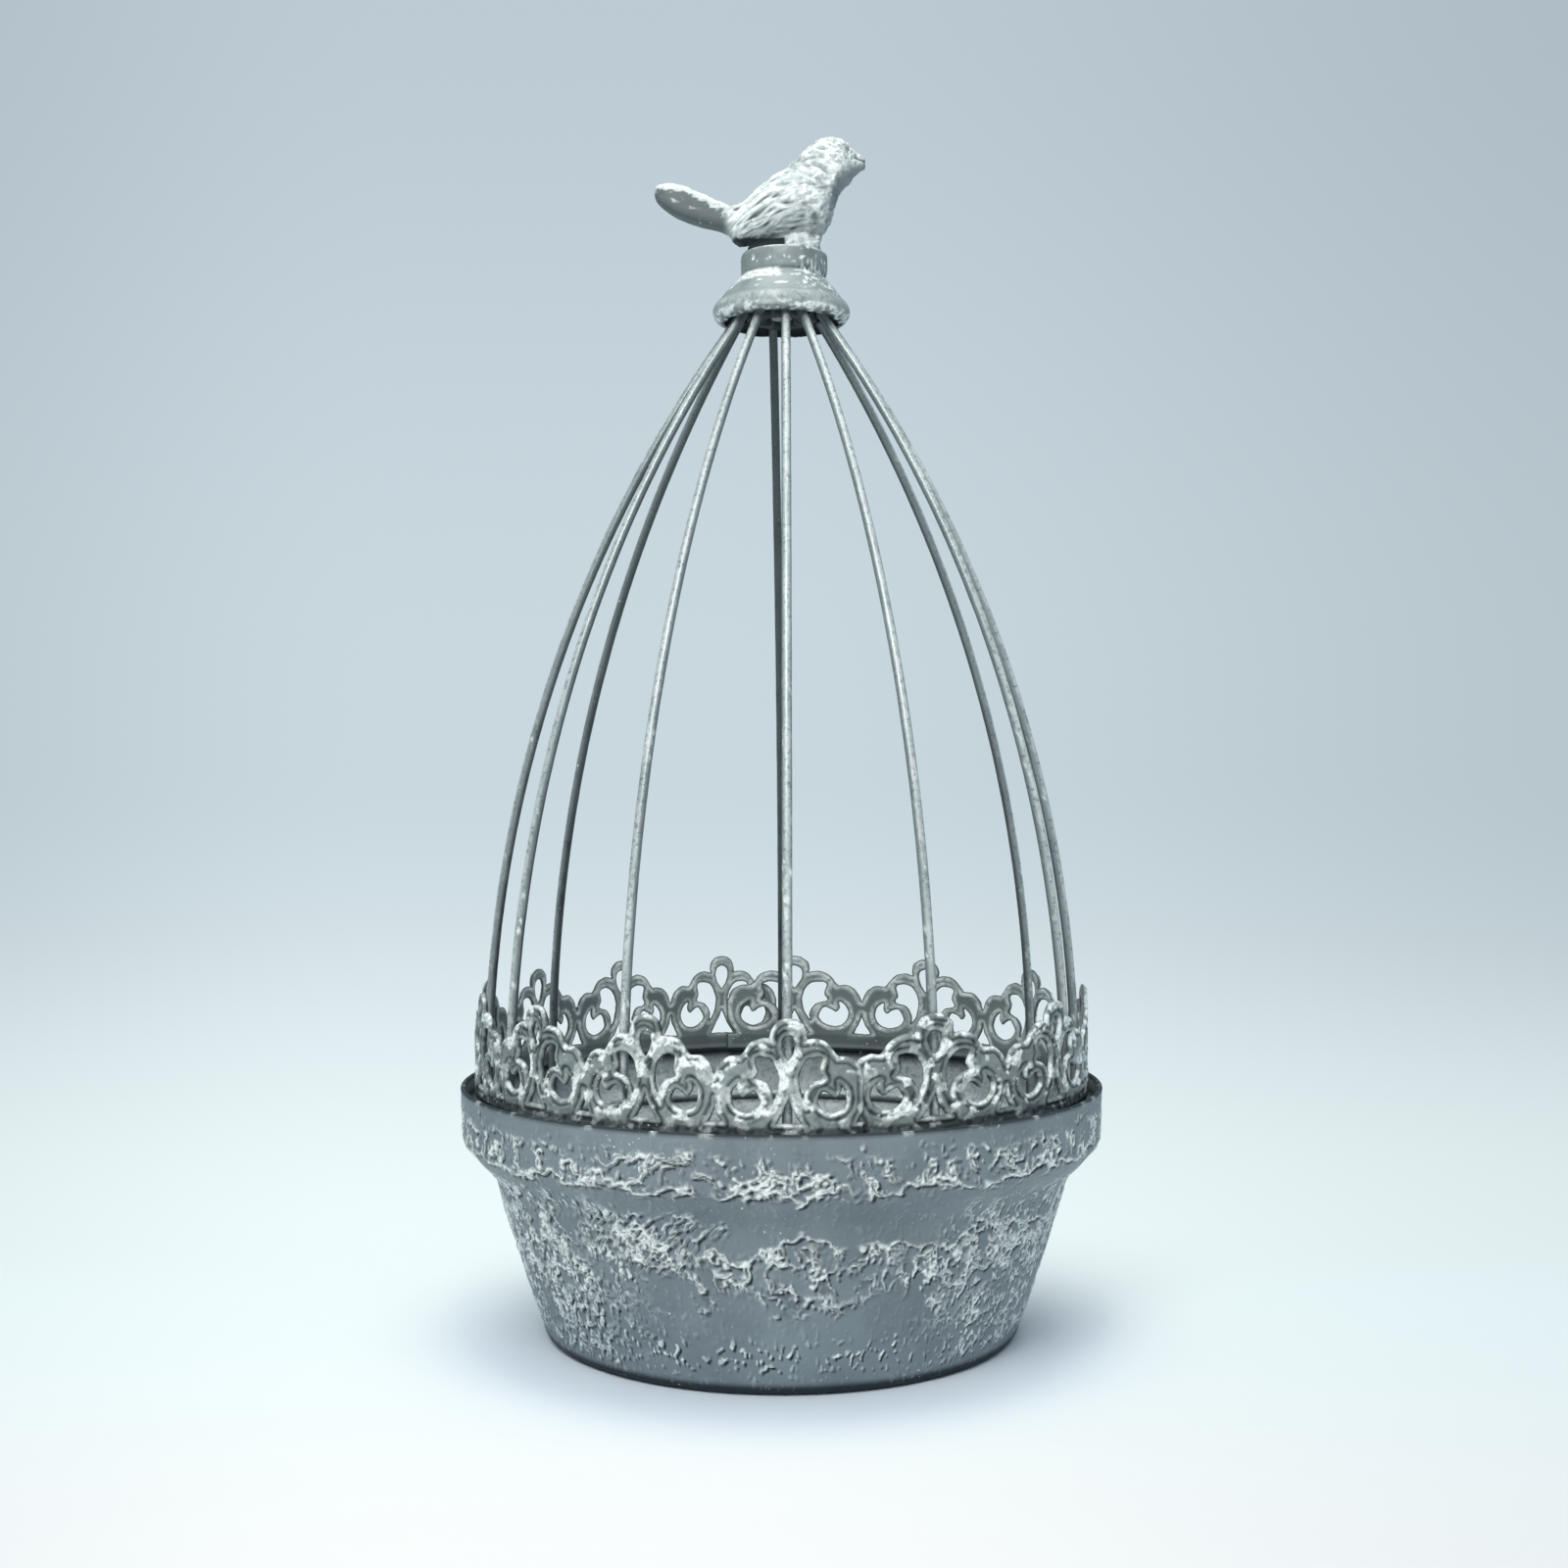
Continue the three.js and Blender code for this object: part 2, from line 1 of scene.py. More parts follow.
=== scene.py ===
"""A birdcage planter in cracked grey paint: tub, wire cage, lace band, bell cap and cast bird."""
import math

import bpy
import numpy as np
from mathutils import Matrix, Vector


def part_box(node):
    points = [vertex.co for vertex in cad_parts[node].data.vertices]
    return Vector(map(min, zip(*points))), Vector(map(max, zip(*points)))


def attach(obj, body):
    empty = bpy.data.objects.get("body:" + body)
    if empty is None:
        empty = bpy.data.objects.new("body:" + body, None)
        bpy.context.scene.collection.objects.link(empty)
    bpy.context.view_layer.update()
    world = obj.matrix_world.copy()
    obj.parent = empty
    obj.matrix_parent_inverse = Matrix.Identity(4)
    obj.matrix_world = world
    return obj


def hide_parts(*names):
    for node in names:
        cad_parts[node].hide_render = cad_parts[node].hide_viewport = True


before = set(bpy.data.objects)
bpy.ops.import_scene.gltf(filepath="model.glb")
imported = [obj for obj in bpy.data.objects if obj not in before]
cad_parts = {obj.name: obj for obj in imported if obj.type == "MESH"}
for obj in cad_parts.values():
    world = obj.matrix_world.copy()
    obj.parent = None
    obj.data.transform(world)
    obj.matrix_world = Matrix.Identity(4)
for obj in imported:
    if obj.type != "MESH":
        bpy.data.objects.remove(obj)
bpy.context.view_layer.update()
MM = 0.001

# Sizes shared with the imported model, in millimetres
RIM_RADIUS, TUB_HEIGHT, SHEET = 110.0, 85.0, 1.2
RING_RADIUS, BEND_RADIUS, WIRE_RADIUS = 101.4, 445.0, 1.6
HUB_RADIUS, WELD_GAP = 12.5, 0.3


def node_box(name):
    low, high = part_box(name)
    return np.array(low) / MM, np.array(high) / MM


# Smooth noise on points, the same on every run

def unit(vectors):
    return vectors / np.linalg.norm(vectors, axis=1)[:, None]


GRADIENTS = unit(np.random.default_rng(20).normal(size=(4096, 3)))
HASH_FACTORS, SEED_FACTOR = np.array([73856093, 19349663, 83492791]), 2654435


def noise(points, seed):
    """Gradient noise from about -1 to 1, one value a point, with features one unit wide."""
    cell = np.floor(points).astype(np.int64)
    part = points - cell
    ease = part**3 * (part * (part * 6 - 15) + 10)
    total = np.zeros(len(points))
    for corner in np.ndindex(2, 2, 2):
        x, y, z = ((cell + corner) * HASH_FACTORS).T
        slope = GRADIENTS[(x ^ y ^ z ^ (seed * SEED_FACTOR)) % len(GRADIENTS)]
        weight = np.where(corner, ease, 1 - ease).prod(1)
        total += weight * (slope * (part - corner)).sum(1)
    return total * 1.6


def layered(points, seed):
    """Noise with finer and weaker noise added to it."""
    return sum(noise(points * 2**i, seed + i) / 2**i for i in range(3))


def noise_vectors(points, seed):
    return np.stack([noise(points, seed + k) for k in (101, 202, 303)], 1)


def clamp(value):
    return np.clip(value, 0, 1)


def step(low, high, value):
    """Smooth step from 0 at low to 1 at high."""
    t = clamp((value - low) / (high - low))
    return t * t * (3 - 2 * t)


def drop(low, high, value):
    """Smooth step from 1 at low to 0 at high."""
    return 1 - step(low, high, value)


def contour(field, level, width):
    """1 where a field passes a level, falling off on both sides."""
    return np.exp(-(((field - level) / width) ** 2))


def angles(count):
    """Angles spaced evenly round a full turn."""
    return np.arange(count) * 2 * math.pi / count


# Meshes

def new_object(name, data):
    piece = bpy.data.objects.new(name, data)
    bpy.context.scene.collection.objects.link(piece)
    return piece


def new_mesh(name, points, faces):
    """A mesh from points in metres."""
    mesh = bpy.data.meshes.new(name)
    mesh.from_pydata(np.asarray(points).tolist(), [], faces)
    return mesh


def mark_points(mesh, name, values):
    mesh.attributes.new(name, "FLOAT", "POINT").data.foreach_set("value", values.astype(np.float32))


def build(name, node, points, faces, material, marks=(), body="cage"):
    """A piece in place of a node, from points in millimetres and the wash, with painted light, and the grime,
    with painted shade, on each of them.
    """
    mesh = new_mesh(name, points * MM, faces)
    mesh.validate()
    for key, values in zip(("wash_and_light", "grime_and_shade"), marks):
        mark_points(mesh, key, clamp(values))
    mesh.shade_smooth()
    mesh.materials.append(material)
    piece = new_object(name, mesh)
    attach(piece, body)
    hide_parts(node)


def grid_faces(rows, columns, closed_rows=False):
    """Quads of a grid of points that closes round its columns."""
    faces = []
    for row in range(rows if closed_rows else rows - 1):
        start, after = row * columns, (row + 1) % rows * columns
        for column in range(columns):
            beside = (column + 1) % columns
            faces.append((start + column, start + beside, after + beside, after + column))
    return faces


def capped(rows, columns):
    """Faces of a grid that closes round its columns, with its two end rows filled in."""
    last = (rows - 1) * columns
    ends = [tuple(range(columns - 1, -1, -1)), tuple(range(last, last + columns))]
    return grid_faces(rows, columns) + ends


def round_points(radius, angle, height):
    """Points from their distance from Z, their angle about it and their height."""
    radius, angle, height = np.broadcast_arrays(radius, angle, height)
    return np.stack([radius * np.cos(angle), radius * np.sin(angle), height], -1).reshape(-1, 3)


def turned(profile, segments):
    """Points round Z from a profile of radius and height; one ring of points a profile point."""
    radius, height = np.asarray(profile, float).T
    return round_points(radius[:, None], angles(segments), height[:, None])


def bezier(start, handle, end, count):
    t = np.linspace(0, 1, count)[:, None]
    return (1 - t) ** 2 * start + 2 * t * (1 - t) * handle + t**2 * end


def arc(centre, radius, first, last, count):
    angle = np.radians(np.linspace(first, last, count))
    return np.stack([centre[0] + radius * np.cos(angle), centre[1] + radius * np.sin(angle)], 1)


def even(points, spacing):
    """A line of points spaced evenly along its length."""
    points = np.asarray(points, float)
    along = np.r_[0, np.cumsum(np.linalg.norm(np.diff(points, axis=0), axis=1))]
    count = max(2, int(round(along[-1] / spacing)) + 1)
    place = np.linspace(0, along[-1], count)
    return np.stack([np.interp(place, along, part) for part in points.T], 1)


def left_of(line):
    """Unit vectors square to a flat line, on its left."""
    ahead = unit(np.gradient(line, axis=0))
    return np.stack([-ahead[:, 1], ahead[:, 0]], 1)


# Materials

class Nodes:
    """A node tree being put together."""

    def __init__(self, tree, coordinates):
        self.tree = tree
        self.place = self.add("ShaderNodeTexCoord").outputs[coordinates]

    def put(self, socket, value):
        if isinstance(value, bpy.types.NodeSocket):
            self.tree.links.new(value, socket)
        else:
            socket.default_value = value

    def add(self, kind, settings=None, numbered=None, **named):
        """A new node with its settings, and its inputs by number and by name."""
        node = self.tree.nodes.new(kind)
        for key, value in (settings or {}).items():
            setattr(node, key, value)
        for key, value in (numbered or {}).items():
            self.put(node.inputs[key], value)
        for key, value in named.items():
            self.put(node.inputs[key.replace("_", " ")], value)
        return node

    def noise(self, scale, detail, roughness):
        settings = {"Scale": scale, "Detail": detail, "Roughness": roughness}
        return self.add("ShaderNodeTexNoise", Vector=self.place, **settings).outputs[0]

    def between(self, value, low, high, to_low=0.0, to_high=1.0):
        node = self.add("ShaderNodeMapRange", {"interpolation_type": "SMOOTHSTEP"}, Value=value,
                        From_Min=low, From_Max=high, To_Min=to_low, To_Max=to_high)
        return node.outputs["Result"]

    def math(self, operation, first, second):
        return self.add("ShaderNodeMath", {"operation": operation}, {0: first, 1: second}).outputs[0]

    def mix(self, share, first, second):
        """A mix of two colours, the node's inputs 6 and 7."""
        numbered = {0: share, 6: first, 7: second}
        return self.add("ShaderNodeMix", {"data_type": "RGBA"}, numbered).outputs[2]

    def value(self, name):
        return self.add("ShaderNodeAttribute", {"attribute_name": name}).outputs["Fac"]

    def blend(self, share, first, second):
        """A mix of two shaders."""
        return self.add("ShaderNodeMixShader", None, {0: share, 1: first, 2: second}).outputs["Shader"]


class Look(Nodes):
    """A material being put together."""

    def __init__(self, name):
        self.material = bpy.data.materials.new(name)
        self.material.use_nodes = True
        super().__init__(self.material.node_tree, "Object")
        self.surface = self.tree.nodes["Principled BSDF"]

    def bump(self, height, strength, distance):
        node = self.add("ShaderNodeBump", Strength=strength, Distance=distance, Height=height)
        self.set("Normal", node.outputs["Normal"])

    def set(self, name, value):
        self.put(self.surface.inputs[name], value)


def linear(red, green, blue):
    """A linear colour from screen values of 0 to 255."""
    parts = [c / 255 for c in (red, green, blue)]
    return (*[c / 12.92 if c <= 0.04045 else ((c + 0.055) / 1.055) ** 2.4 for c in parts], 1)


# Paint: screen colours of the white wash, which also serves as painted light, and of the grime, which also
# serves as painted shade, and noise features to the metre
WASH_AND_LIGHT, SHADE_AND_GRIME = linear(236, 243, 242), linear(38, 46, 50)
CLOUDS, PATCHES, GRAIN, FLECKS = 38.0, 55.0, 620.0, 900.0


def washed_paint(name, low, high, rub, gloss, fleck=0.0, metal=0.0):
    """Grey paint between two tones, whitened by the wash mark as white paint and painted highlight, and
    darkened by the grime mark as grime and painted shade.
    rub sets how broken the wash is, gloss the roughness and fleck how many small white flecks."""
    look = Look(name)
    tone = look.between(look.noise(CLOUDS, 5, 0.6), 0.3, 0.7)
    colour = look.mix(tone, linear(*low), linear(*high))
    colour = look.mix(look.math("MULTIPLY", look.value("grime_and_shade"), 0.95), colour, SHADE_AND_GRIME)
    fine = look.noise(GRAIN, 4, 0.65)
    broken = look.between(fine, 0.5 - rub, 0.5 + 0.35 * rub)
    share = look.math("MULTIPLY", look.value("wash_and_light"), broken)
    spots = look.between(look.noise(FLECKS, 2, 0.5), 0.72 - fleck, 0.78 - fleck)
    region = look.between(look.noise(PATCHES, 2, 0.5), 0.45, 0.62)
    share = look.math("MAXIMUM", share, look.math("MULTIPLY", spots, region))
    look.set("Base Color", look.mix(share, colour, WASH_AND_LIGHT))
    look.set("Roughness", look.between(fine, 0.3, 0.7, gloss - 0.08, gloss + 0.12))
    look.set("Specular IOR Level", look.between(look.value("grime_and_shade"), 0.2, 0.9, 0.45, 0.06))
    look.set("Metallic", look.between(share, 0, 0.6, metal, 0))
    look.bump(look.math("ADD", fine, share), 0.3, 0.0003)
    return look.material


TUB_PAINT = washed_paint("tub_paint", (106, 118, 125), (124, 137, 142), rub=0.24, gloss=0.5, fleck=0.03)
WIRE_PAINT = washed_paint("wire_paint", (128, 139, 141), (146, 157, 158), rub=0.3, gloss=0.32, metal=0.35)
LACE_PAINT = washed_paint("lace_paint", (114, 125, 125), (138, 149, 149), rub=0.24, gloss=0.4, fleck=0.05)
CAP_PAINT = washed_paint("cap_paint", (126, 138, 139), (148, 160, 160), rub=0.2, gloss=0.36, fleck=0.02)
BIRD_PAINT = washed_paint("bird_paint", (134, 145, 147), (162, 173, 174), rub=0.32, gloss=0.45, fleck=0.04)
# Dark paint for the hub, as painted shade under the cap
HUB_SHADE_PAINT = washed_paint("hub_shade_paint", (40, 47, 51), (58, 66, 70), rub=0.2, gloss=0.6)


def zinc_plate():
    look = Look("zinc_plate")
    cloud = look.noise(260, 4, 0.6)
    tone = look.between(cloud, 0.35, 0.65)
    look.set("Base Color", look.mix(tone, linear(126, 129, 130), linear(158, 160, 160)))
    look.set("Metallic", 0.9)
    look.set("Roughness", look.between(cloud, 0.3, 0.7, 0.32, 0.5))
    look.bump(look.noise(1500, 3, 0.5), 0.2, 0.0002)
    return look.material


ZINC = zinc_plate()


# Tub

BAND_FOOT, SHOULDER_FOOT = 67.5, 54.0
BAND_LOW_RADIUS, BODY_TOP_RADIUS = 109.0, 98.0
FOOT_RADIUS, FOOT_CORNER, BELLY_SWELL = 82.0, 4.0, 1.4
BASE_RECESS, RECESS_RADIUS, HEM = 1.2, 62.0, 1.8
RECESS_SLOPE, INSIDE_SPACING, FLOOR_SPACING = 2.4, 4.0, 3.0
TUB_SEGMENTS, TUB_SPACING = 1440, 0.45
# Where the paint's marks lie: heights of their rows, among them a band of painted shadow inside under the
# lace, and one scuffed place at the left of the front
UNROLLED_RADIUS = 98.0
BAND_MARKS, BELLY_MARKS, SKIRT_MARKS, INSIDE_SHADE = 72.0, 49.0, 13.0, 79.0
SCUFF_X, SCUFF_HEIGHT = -40.0, 50.0


def tub_outline():
    """The outside from the edge of the base's recess up to the hem."""
    corner = arc((FOOT_RADIUS - FOOT_CORNER, FOOT_CORNER), FOOT_CORNER, -90, 0, 8)
    belly_radius = (FOOT_RADIUS + BODY_TOP_RADIUS) / 2 + BELLY_SWELL
    belly_height = (FOOT_CORNER + SHOULDER_FOOT) / 2 + BELLY_SWELL
    side = bezier(corner[-1], (belly_radius, belly_height), (BODY_TOP_RADIUS, SHOULDER_FOOT), 40)
    middle = ((BAND_LOW_RADIUS + BODY_TOP_RADIUS) / 2, (BAND_FOOT + SHOULDER_FOOT) / 2)
    lower = bezier(side[-1], (BODY_TOP_RADIUS + 1, SHOULDER_FOOT + 3), middle, 14)
    upper = bezier(middle, (BAND_LOW_RADIUS - 1, BAND_FOOT - 2), (BAND_LOW_RADIUS, BAND_FOOT), 14)
    band = [(RIM_RADIUS - 0.15, TUB_HEIGHT - HEM)]
    return np.vstack([corner, side[1:], lower[1:], upper[1:], band])


def crackle(heights):
    """The tub's paint: torn edges of old coats along the band and round the belly, flecks at the sides
    and strokes in the scuffed place. Gives height, wash and grime, with painted shadow in the grime beside
    each raised mark, round in columns and up in rows."""
    shape = (len(heights), TUB_SEGMENTS)
    z = np.repeat(heights, TUB_SEGMENTS)
    spots = round_points(UNROLLED_RADIUS, np.tile(angles(TUB_SEGMENTS), shape[0]), z)
    x, y = spots[:, 0], spots[:, 1]
    level = spots * [1, 1, 0]
    bent = spots + 1.3 * noise_vectors(spots / 4.5, 40)
    coarse = noise(bent / 9, 50) + 0.55 * noise(bent / 4, 51) + 0.3 * noise(bent / 1.9, 52)
    finer = noise(bent / 4.2, 53) + 0.5 * noise(bent / 2, 54)
    torn = step(-0.3, 0.05, noise(spots / 6, 55))
    patch = step(-0.3, 0.1, noise(spots / 11, 69))
    side = (x / UNROLLED_RADIUS) ** 2

    # Where each kind of mark lies
    band_line = BAND_MARKS + 2.5 * noise(level / 20, 56)
    band = contour(z, band_line, 7) * step(-0.6, -0.1, noise(level / 24, 57))
    band = step(0.25, 0.6, band)
    belly_line = BELLY_MARKS + 7 * noise(level / 26, 58) + 3 * noise(level / 8, 59)
    below = belly_line - z
    reach = 14 + 11 * noise(level / 15, 60)
    belly = step(-1.5, 1, below) * drop(reach, reach + 5, below)
    belly *= step(-0.55, -0.15, noise(level / 22, 61))
    skirt = contour(z, SKIRT_MARKS, 5) * step(-0.35, 0.15, noise(spots / [16, 16, 9], 62))
    sides = step(0.12, 0.5, side) * (1 - 0.3 * step(0, 60, x)) * step(4, 9, z) * drop(58, 64, z)
    sides *= step(-0.6, 0, noise(spots / 15, 63))

    # Torn edges, flecks and strokes
    broad = np.maximum(contour(coarse, 0, 0.1), 0.9 * patch * contour(coarse, 0.34, 0.085))
    broad *= np.maximum(band, belly)
    fine = 0.8 * patch * contour(finer, 0.05, 0.11) * np.maximum(0.9 * belly, sides)
    fine = np.maximum(fine, 0.75 * contour(finer, -0.35, 0.11) * sides)
    coast = contour(below + 2 * finer, 0, 0.45) * step(-0.4, 0, noise(level / 18, 64))
    rail = contour(z - band_line + 4.2 + 3.2 * coarse, 0, 0.5) * step(-0.4, 0, noise(level / 15, 65))
    grain = noise(bent / [1.2, 1.2, 2.4], 66) + 0.4 * noise(spots / 2.8, 67)
    upper = 0.4 * step(73, 76, z) * step(0, 0.4, noise(spots / 13, 70))
    crowd = clamp(0.45 * belly * patch + sides + 0.9 * skirt + 0.25 * band + upper + 0.08)
    flecks = step(0.34, 0.5, grain) * crowd
    slant = np.stack([(x - z) / 2.4, y / 3, (x + z) / 7], 1)
    scuff = np.where(y < 0, contour(x, SCUFF_X, 20) * contour(z, SCUFF_HEIGHT, 10), 0)
    scuff = step(0.25, 0.6, scuff + 0.35 * noise(spots / 7, 71))
    strokes = contour(noise(slant, 72) + 0.3 * noise(bent / 2, 73), 0.1, 0.13) * scuff

    # Relief with a hollow beside each edge, white paint on the edges and painted shadow in the hollows, below
    # them and to their right
    raised = np.max([torn * broad, torn * fine, 0.9 * coast, rail, 0.8 * flecks, 0.8 * strokes], 0)
    raised = raised.reshape(shape)
    shade = np.roll(np.roll(raised, 2, 1), -2, 0)
    height = 0.55 * raised - 0.5 * shade * (1 - 0.6 * raised) + 0.12 * (belly * finer).reshape(shape)
    grime_and_shade = clamp(2.1 * shade * (1 - 1.3 * raised))
    bare = 0.4 * (belly * step(0.1, 0.5, finer) * torn).reshape(shape)
    strength = (0.6 + 0.9 * step(-0.4, 0.4, noise(spots / 7, 68)) + 0.5 * side).reshape(shape)
    return height, clamp(1.3 * raised * strength), clamp(np.maximum(grime_and_shade, bare * (1 - raised)))


def make_tub():
    outline = even(tub_outline(), TUB_SPACING)
    hem = arc((RIM_RADIUS - HEM / 2, TUB_HEIGHT - HEM / 2), HEM / 2, 0, 200, 9)
    inside = even(outline, INSIDE_SPACING)
    inside = (inside + SHEET * left_of(inside))[::-1]
    flat = even([[RECESS_RADIUS - RECESS_SLOPE, BASE_RECESS], [1, BASE_RECESS]], FLOOR_SPACING)
    base = np.vstack([[[RECESS_RADIUS, 0]], flat])
    floor = flat + [0, SHEET]
    profile = np.vstack([base[::-1], outline, hem, inside, floor])
    points = turned(profile, TUB_SEGMENTS)
    rows = len(profile)
    first_row, last_row = len(base), len(base) + len(outline) - 1
    row = np.repeat(np.arange(rows), TUB_SEGMENTS)
    outer = (row >= first_row) & (row <= last_row)
    hemmed = (row > last_row) & (row <= last_row + len(hem))

    height, wash_and_light, grime_and_shade = np.zeros((3, len(points)))
    for whole, part in zip((height, wash_and_light, grime_and_shade), crackle(outline[:, 1])):
        whole[outer] = part.ravel()
    height += np.where(outer, 0.12 * layered(points / 18, 60), 0)
    fade = step(0.5, 4, points[:, 2]) * drop(TUB_HEIGHT - 4.5, TUB_HEIGHT - 1.5, points[:, 2])
    # Painted shadow: the outside darkens over its lowest 5 mm, where the foot meets the floor
    foot = np.where(outer, drop(2.2, 5, points[:, 2]), 0)
    normal = np.zeros((rows, 2))
    normal[first_row:last_row + 1] = -left_of(outline)
    push = np.minimum(height * fade, RIM_RADIUS - 0.05 - np.hypot(points[:, 0], points[:, 1]))
    away = round_points(1, np.tile(angles(TUB_SEGMENTS), rows), 0)
    points = points + (push * normal[row, 0])[:, None] * away
    points[:, 2] += push * normal[row, 1]

    # Painted shade along the hem's top edge, under the lace
    rim = step(TUB_HEIGHT - 1, TUB_HEIGHT - 0.3, points[:, 2])
    # Inside: a band of painted shadow under the lace's foot, painted light lifting the rest of the shaded
    # wall, and some mottled grime
    strip_shadow = contour(points[:, 2], INSIDE_SHADE, 2.4)
    wash_and_light = np.where(outer, wash_and_light * fade, (0.3 + 0.2 * layered(points / 9, 80)) * (1 - strip_shadow))
    wash_and_light = np.where(hemmed, 0.3 * step(0.2, 0.6, noise(points / 5, 90)), wash_and_light)
    grime_and_shade = np.where(outer, grime_and_shade * fade, np.maximum(0.15 * layered(points / 20, 95), strip_shadow))
    grime_and_shade = np.where(hemmed, (0.4 + 0.55 * rim) * (1 - wash_and_light), grime_and_shade)
    marks = (wash_and_light, np.maximum(grime_and_shade, foot))
    build("tub_cracked", "tub", points, capped(rows, TUB_SEGMENTS), TUB_PAINT, marks, body="pot")


# Wires: each rib's place round the cage and how far it swings from there, in degrees

WIRE_SIDES, RIB_SPACING, HOOP_SEGMENTS, HOOP_SEED = 14, 1.6, 400, 30
RIBS = [(-122, -2.2), (-88, 0), (-59, 0), (-28, 0), (1, -0.8), (27, 0), (66, 0), (88, 0), (115, 0), (180, -2)]
# Which way the ribs' painted highlight and white brushing face: outward and up, turned towards the front on
# the right-hand ribs; the side away gets painted shade
LIT_AND_BRUSHED_OUT, LIT_AND_BRUSHED_UP, RIGHT_TO_FRONT = 0.93, 0.37, 0.65


def wire_marks(points, facing, seed):
    """Wash and grime of a painted wire: brushed white and painted highlight on the side turned along facing,
    painted shade on the side away, flecked lower down.
    """
    low = drop(150, 260, points[:, 2])
    flecks = step(0.3, 0.55, noise(points / [1, 1, 1.6], seed))
    flecks *= step(-0.25, 0.3, noise(points / 12, seed + 5))
    streak = step(0.45, 0.95, facing) * (0.55 + 0.3 * noise(points / [4, 4, 18], seed + 7))
    wash_and_light = np.maximum(flecks * (0.25 + 0.75 * low) * step(-0.2, 0.4, facing), 0.75 * streak)
    stains = low * step(0.2, 0.6, noise(points / [3, 3, 6], seed + 9))
    grime_and_shade = 0.75 * drop(-0.75, 0.35, facing) + 0.15 * stains
    return wash_and_light, grime_and_shade


def wire(path, seed, closed=False):
    """Points and normals of a slightly uneven wire along a path."""
    ahead = np.gradient(path, axis=0)
    if closed:
        ahead = np.roll(path, -1, 0) - np.roll(path, 1, 0)
    ahead = unit(ahead)
    across = unit(np.cross(ahead, path * [1, 1, 0]))
    over = np.cross(across, ahead)
    angle = angles(WIRE_SIDES)
    ring = across[:, None] * np.cos(angle)[:, None] + over[:, None] * np.sin(angle)[:, None]
    normals = ring.reshape(-1, 3)
    spine = np.repeat(path, WIRE_SIDES, 0)
    skin = spine + WIRE_RADIUS * round_points(1, np.tile(angle, len(path)), 0)
    radius = WIRE_RADIUS - 0.05 + 0.03 * noise(skin / 2, seed) + 0.04 * noise(skin / 9, seed + 1)
    return spine + normals * radius[:, None], normals


def outward(degrees):
    turn = math.radians(degrees)
    return np.array([math.sin(turn), -math.cos(turn), 0])


def make_wires():
    foot = node_box("rib_05")[0][2]
    bend = math.acos((HUB_RADIUS + WELD_GAP + BEND_RADIUS - RING_RADIUS) / (BEND_RADIUS - WIRE_RADIUS))
    curve = arc((RING_RADIUS - BEND_RADIUS, TUB_HEIGHT), BEND_RADIUS, 0, math.degrees(bend), 160)
    line = even(np.vstack([[RING_RADIUS, foot], curve]), RIB_SPACING)
    for number, (degrees, swing) in enumerate(RIBS, 1):
        out = outward(degrees)
        bow = (line[:, :1] - RING_RADIUS) * outward(degrees + swing)
        path = RING_RADIUS * out + bow + line[:, 1:] * [0, 0, 1]
        points, normals = wire(path, number)
        lean = out + [0, -RIGHT_TO_FRONT * max(out[0], 0), 0]
        lit_and_brushed = LIT_AND_BRUSHED_OUT * lean / np.linalg.norm(lean) + [0, 0, LIT_AND_BRUSHED_UP]
        marks = wire_marks(points, normals @ lit_and_brushed, number)
        name = f"rib_{number:02d}"
        build(name + "_wire", name, points, capped(len(path), WIRE_SIDES), WIRE_PAINT, marks)
    low, high = node_box("base_hoop")
    path = round_points(RING_RADIUS, angles(HOOP_SEGMENTS), (low[2] + high[2]) / 2)
    points, normals = wire(path, HOOP_SEED, closed=True)
    faces = grid_faces(len(path), WIRE_SIDES, closed_rows=True)
    # Painted highlight on the hoop's top, painted shade under it
    marks = wire_marks(points, normals[:, 2], HOOP_SEED)
    build("base_hoop_wire", "base_hoop", points, faces, WIRE_PAINT, marks)


# Lace band: half a repeat of its motif, from the middle of a peak to the valley beside it

MOTIF_WIDTH, MOTIF_HEIGHT, MOTIF_STRIP = 22.6, 37.6, 6.3
MOTIF_EDGES = [
    [(0, 37.6), (2.6, 36.9), (4.5, 34.8), (5, 32.2)],
    [(4.6, 30.9), (7.8, 31.5), (11.2, 30.2), (13.6, 27)],
    [(14.6, 25.9), (18, 25.8), (20.8, 23.6), (22.6, 19.4)],
    [(22.6, 14.2), (21.9, 11), (19.6, 6.3)],
    [(22.6, MOTIF_STRIP), (22.6, 0)],
    [(0, 0), (0, MOTIF_STRIP)],
    [(4.6, 6.3), (2, 11), (0, 15.6)],
    [(0, 24.4), (2, 27.6), (2.6, 30.6), (1.7, 32.9), (0, 33.7)],
]
MOTIF_CRESCENT = [(10.6, 26.2), (7.6, 27.2), (4.4, 25.6), (2.5, 20.6), (3.3, 15), (5.3, 11.4), (5.1, 14.8),
                  (7, 18.2), (10.8, 19.7), (10, 22.4)]
MOTIF_EYE = [(8, 13), (10, 10.2), (13.2, 9.2), (16.4, 10.4), (18, 13.6), (17.4, 17), (15, 19.2), (15.1, 16.8),
             (13.9, 15), (12.3, 16.2), (9.8, 16.8)]
LACE_RADIUS, LACE_BACK, LACE_TOP_RELIEF = 103.9, 103.3, 1.15
LACE_MIDDLE, LACE_FOOT, LACE_HEIGHT = 104.0, 81.0, 37.0
LACE_CELL, LACE_MARGIN, LACE_END, LACE_LAP_STEP = 0.42, 1.37, 0.02, 2.2
CURVE_STEPS, CROSSING_MARGIN = 8, 0.04
# Places where white paint lies thick on the front, and how far it spreads
SPLASHES = [((-42, -94, 108), (9, 12, 9)), ((-1, -104, 103), (7, 12, 8))]


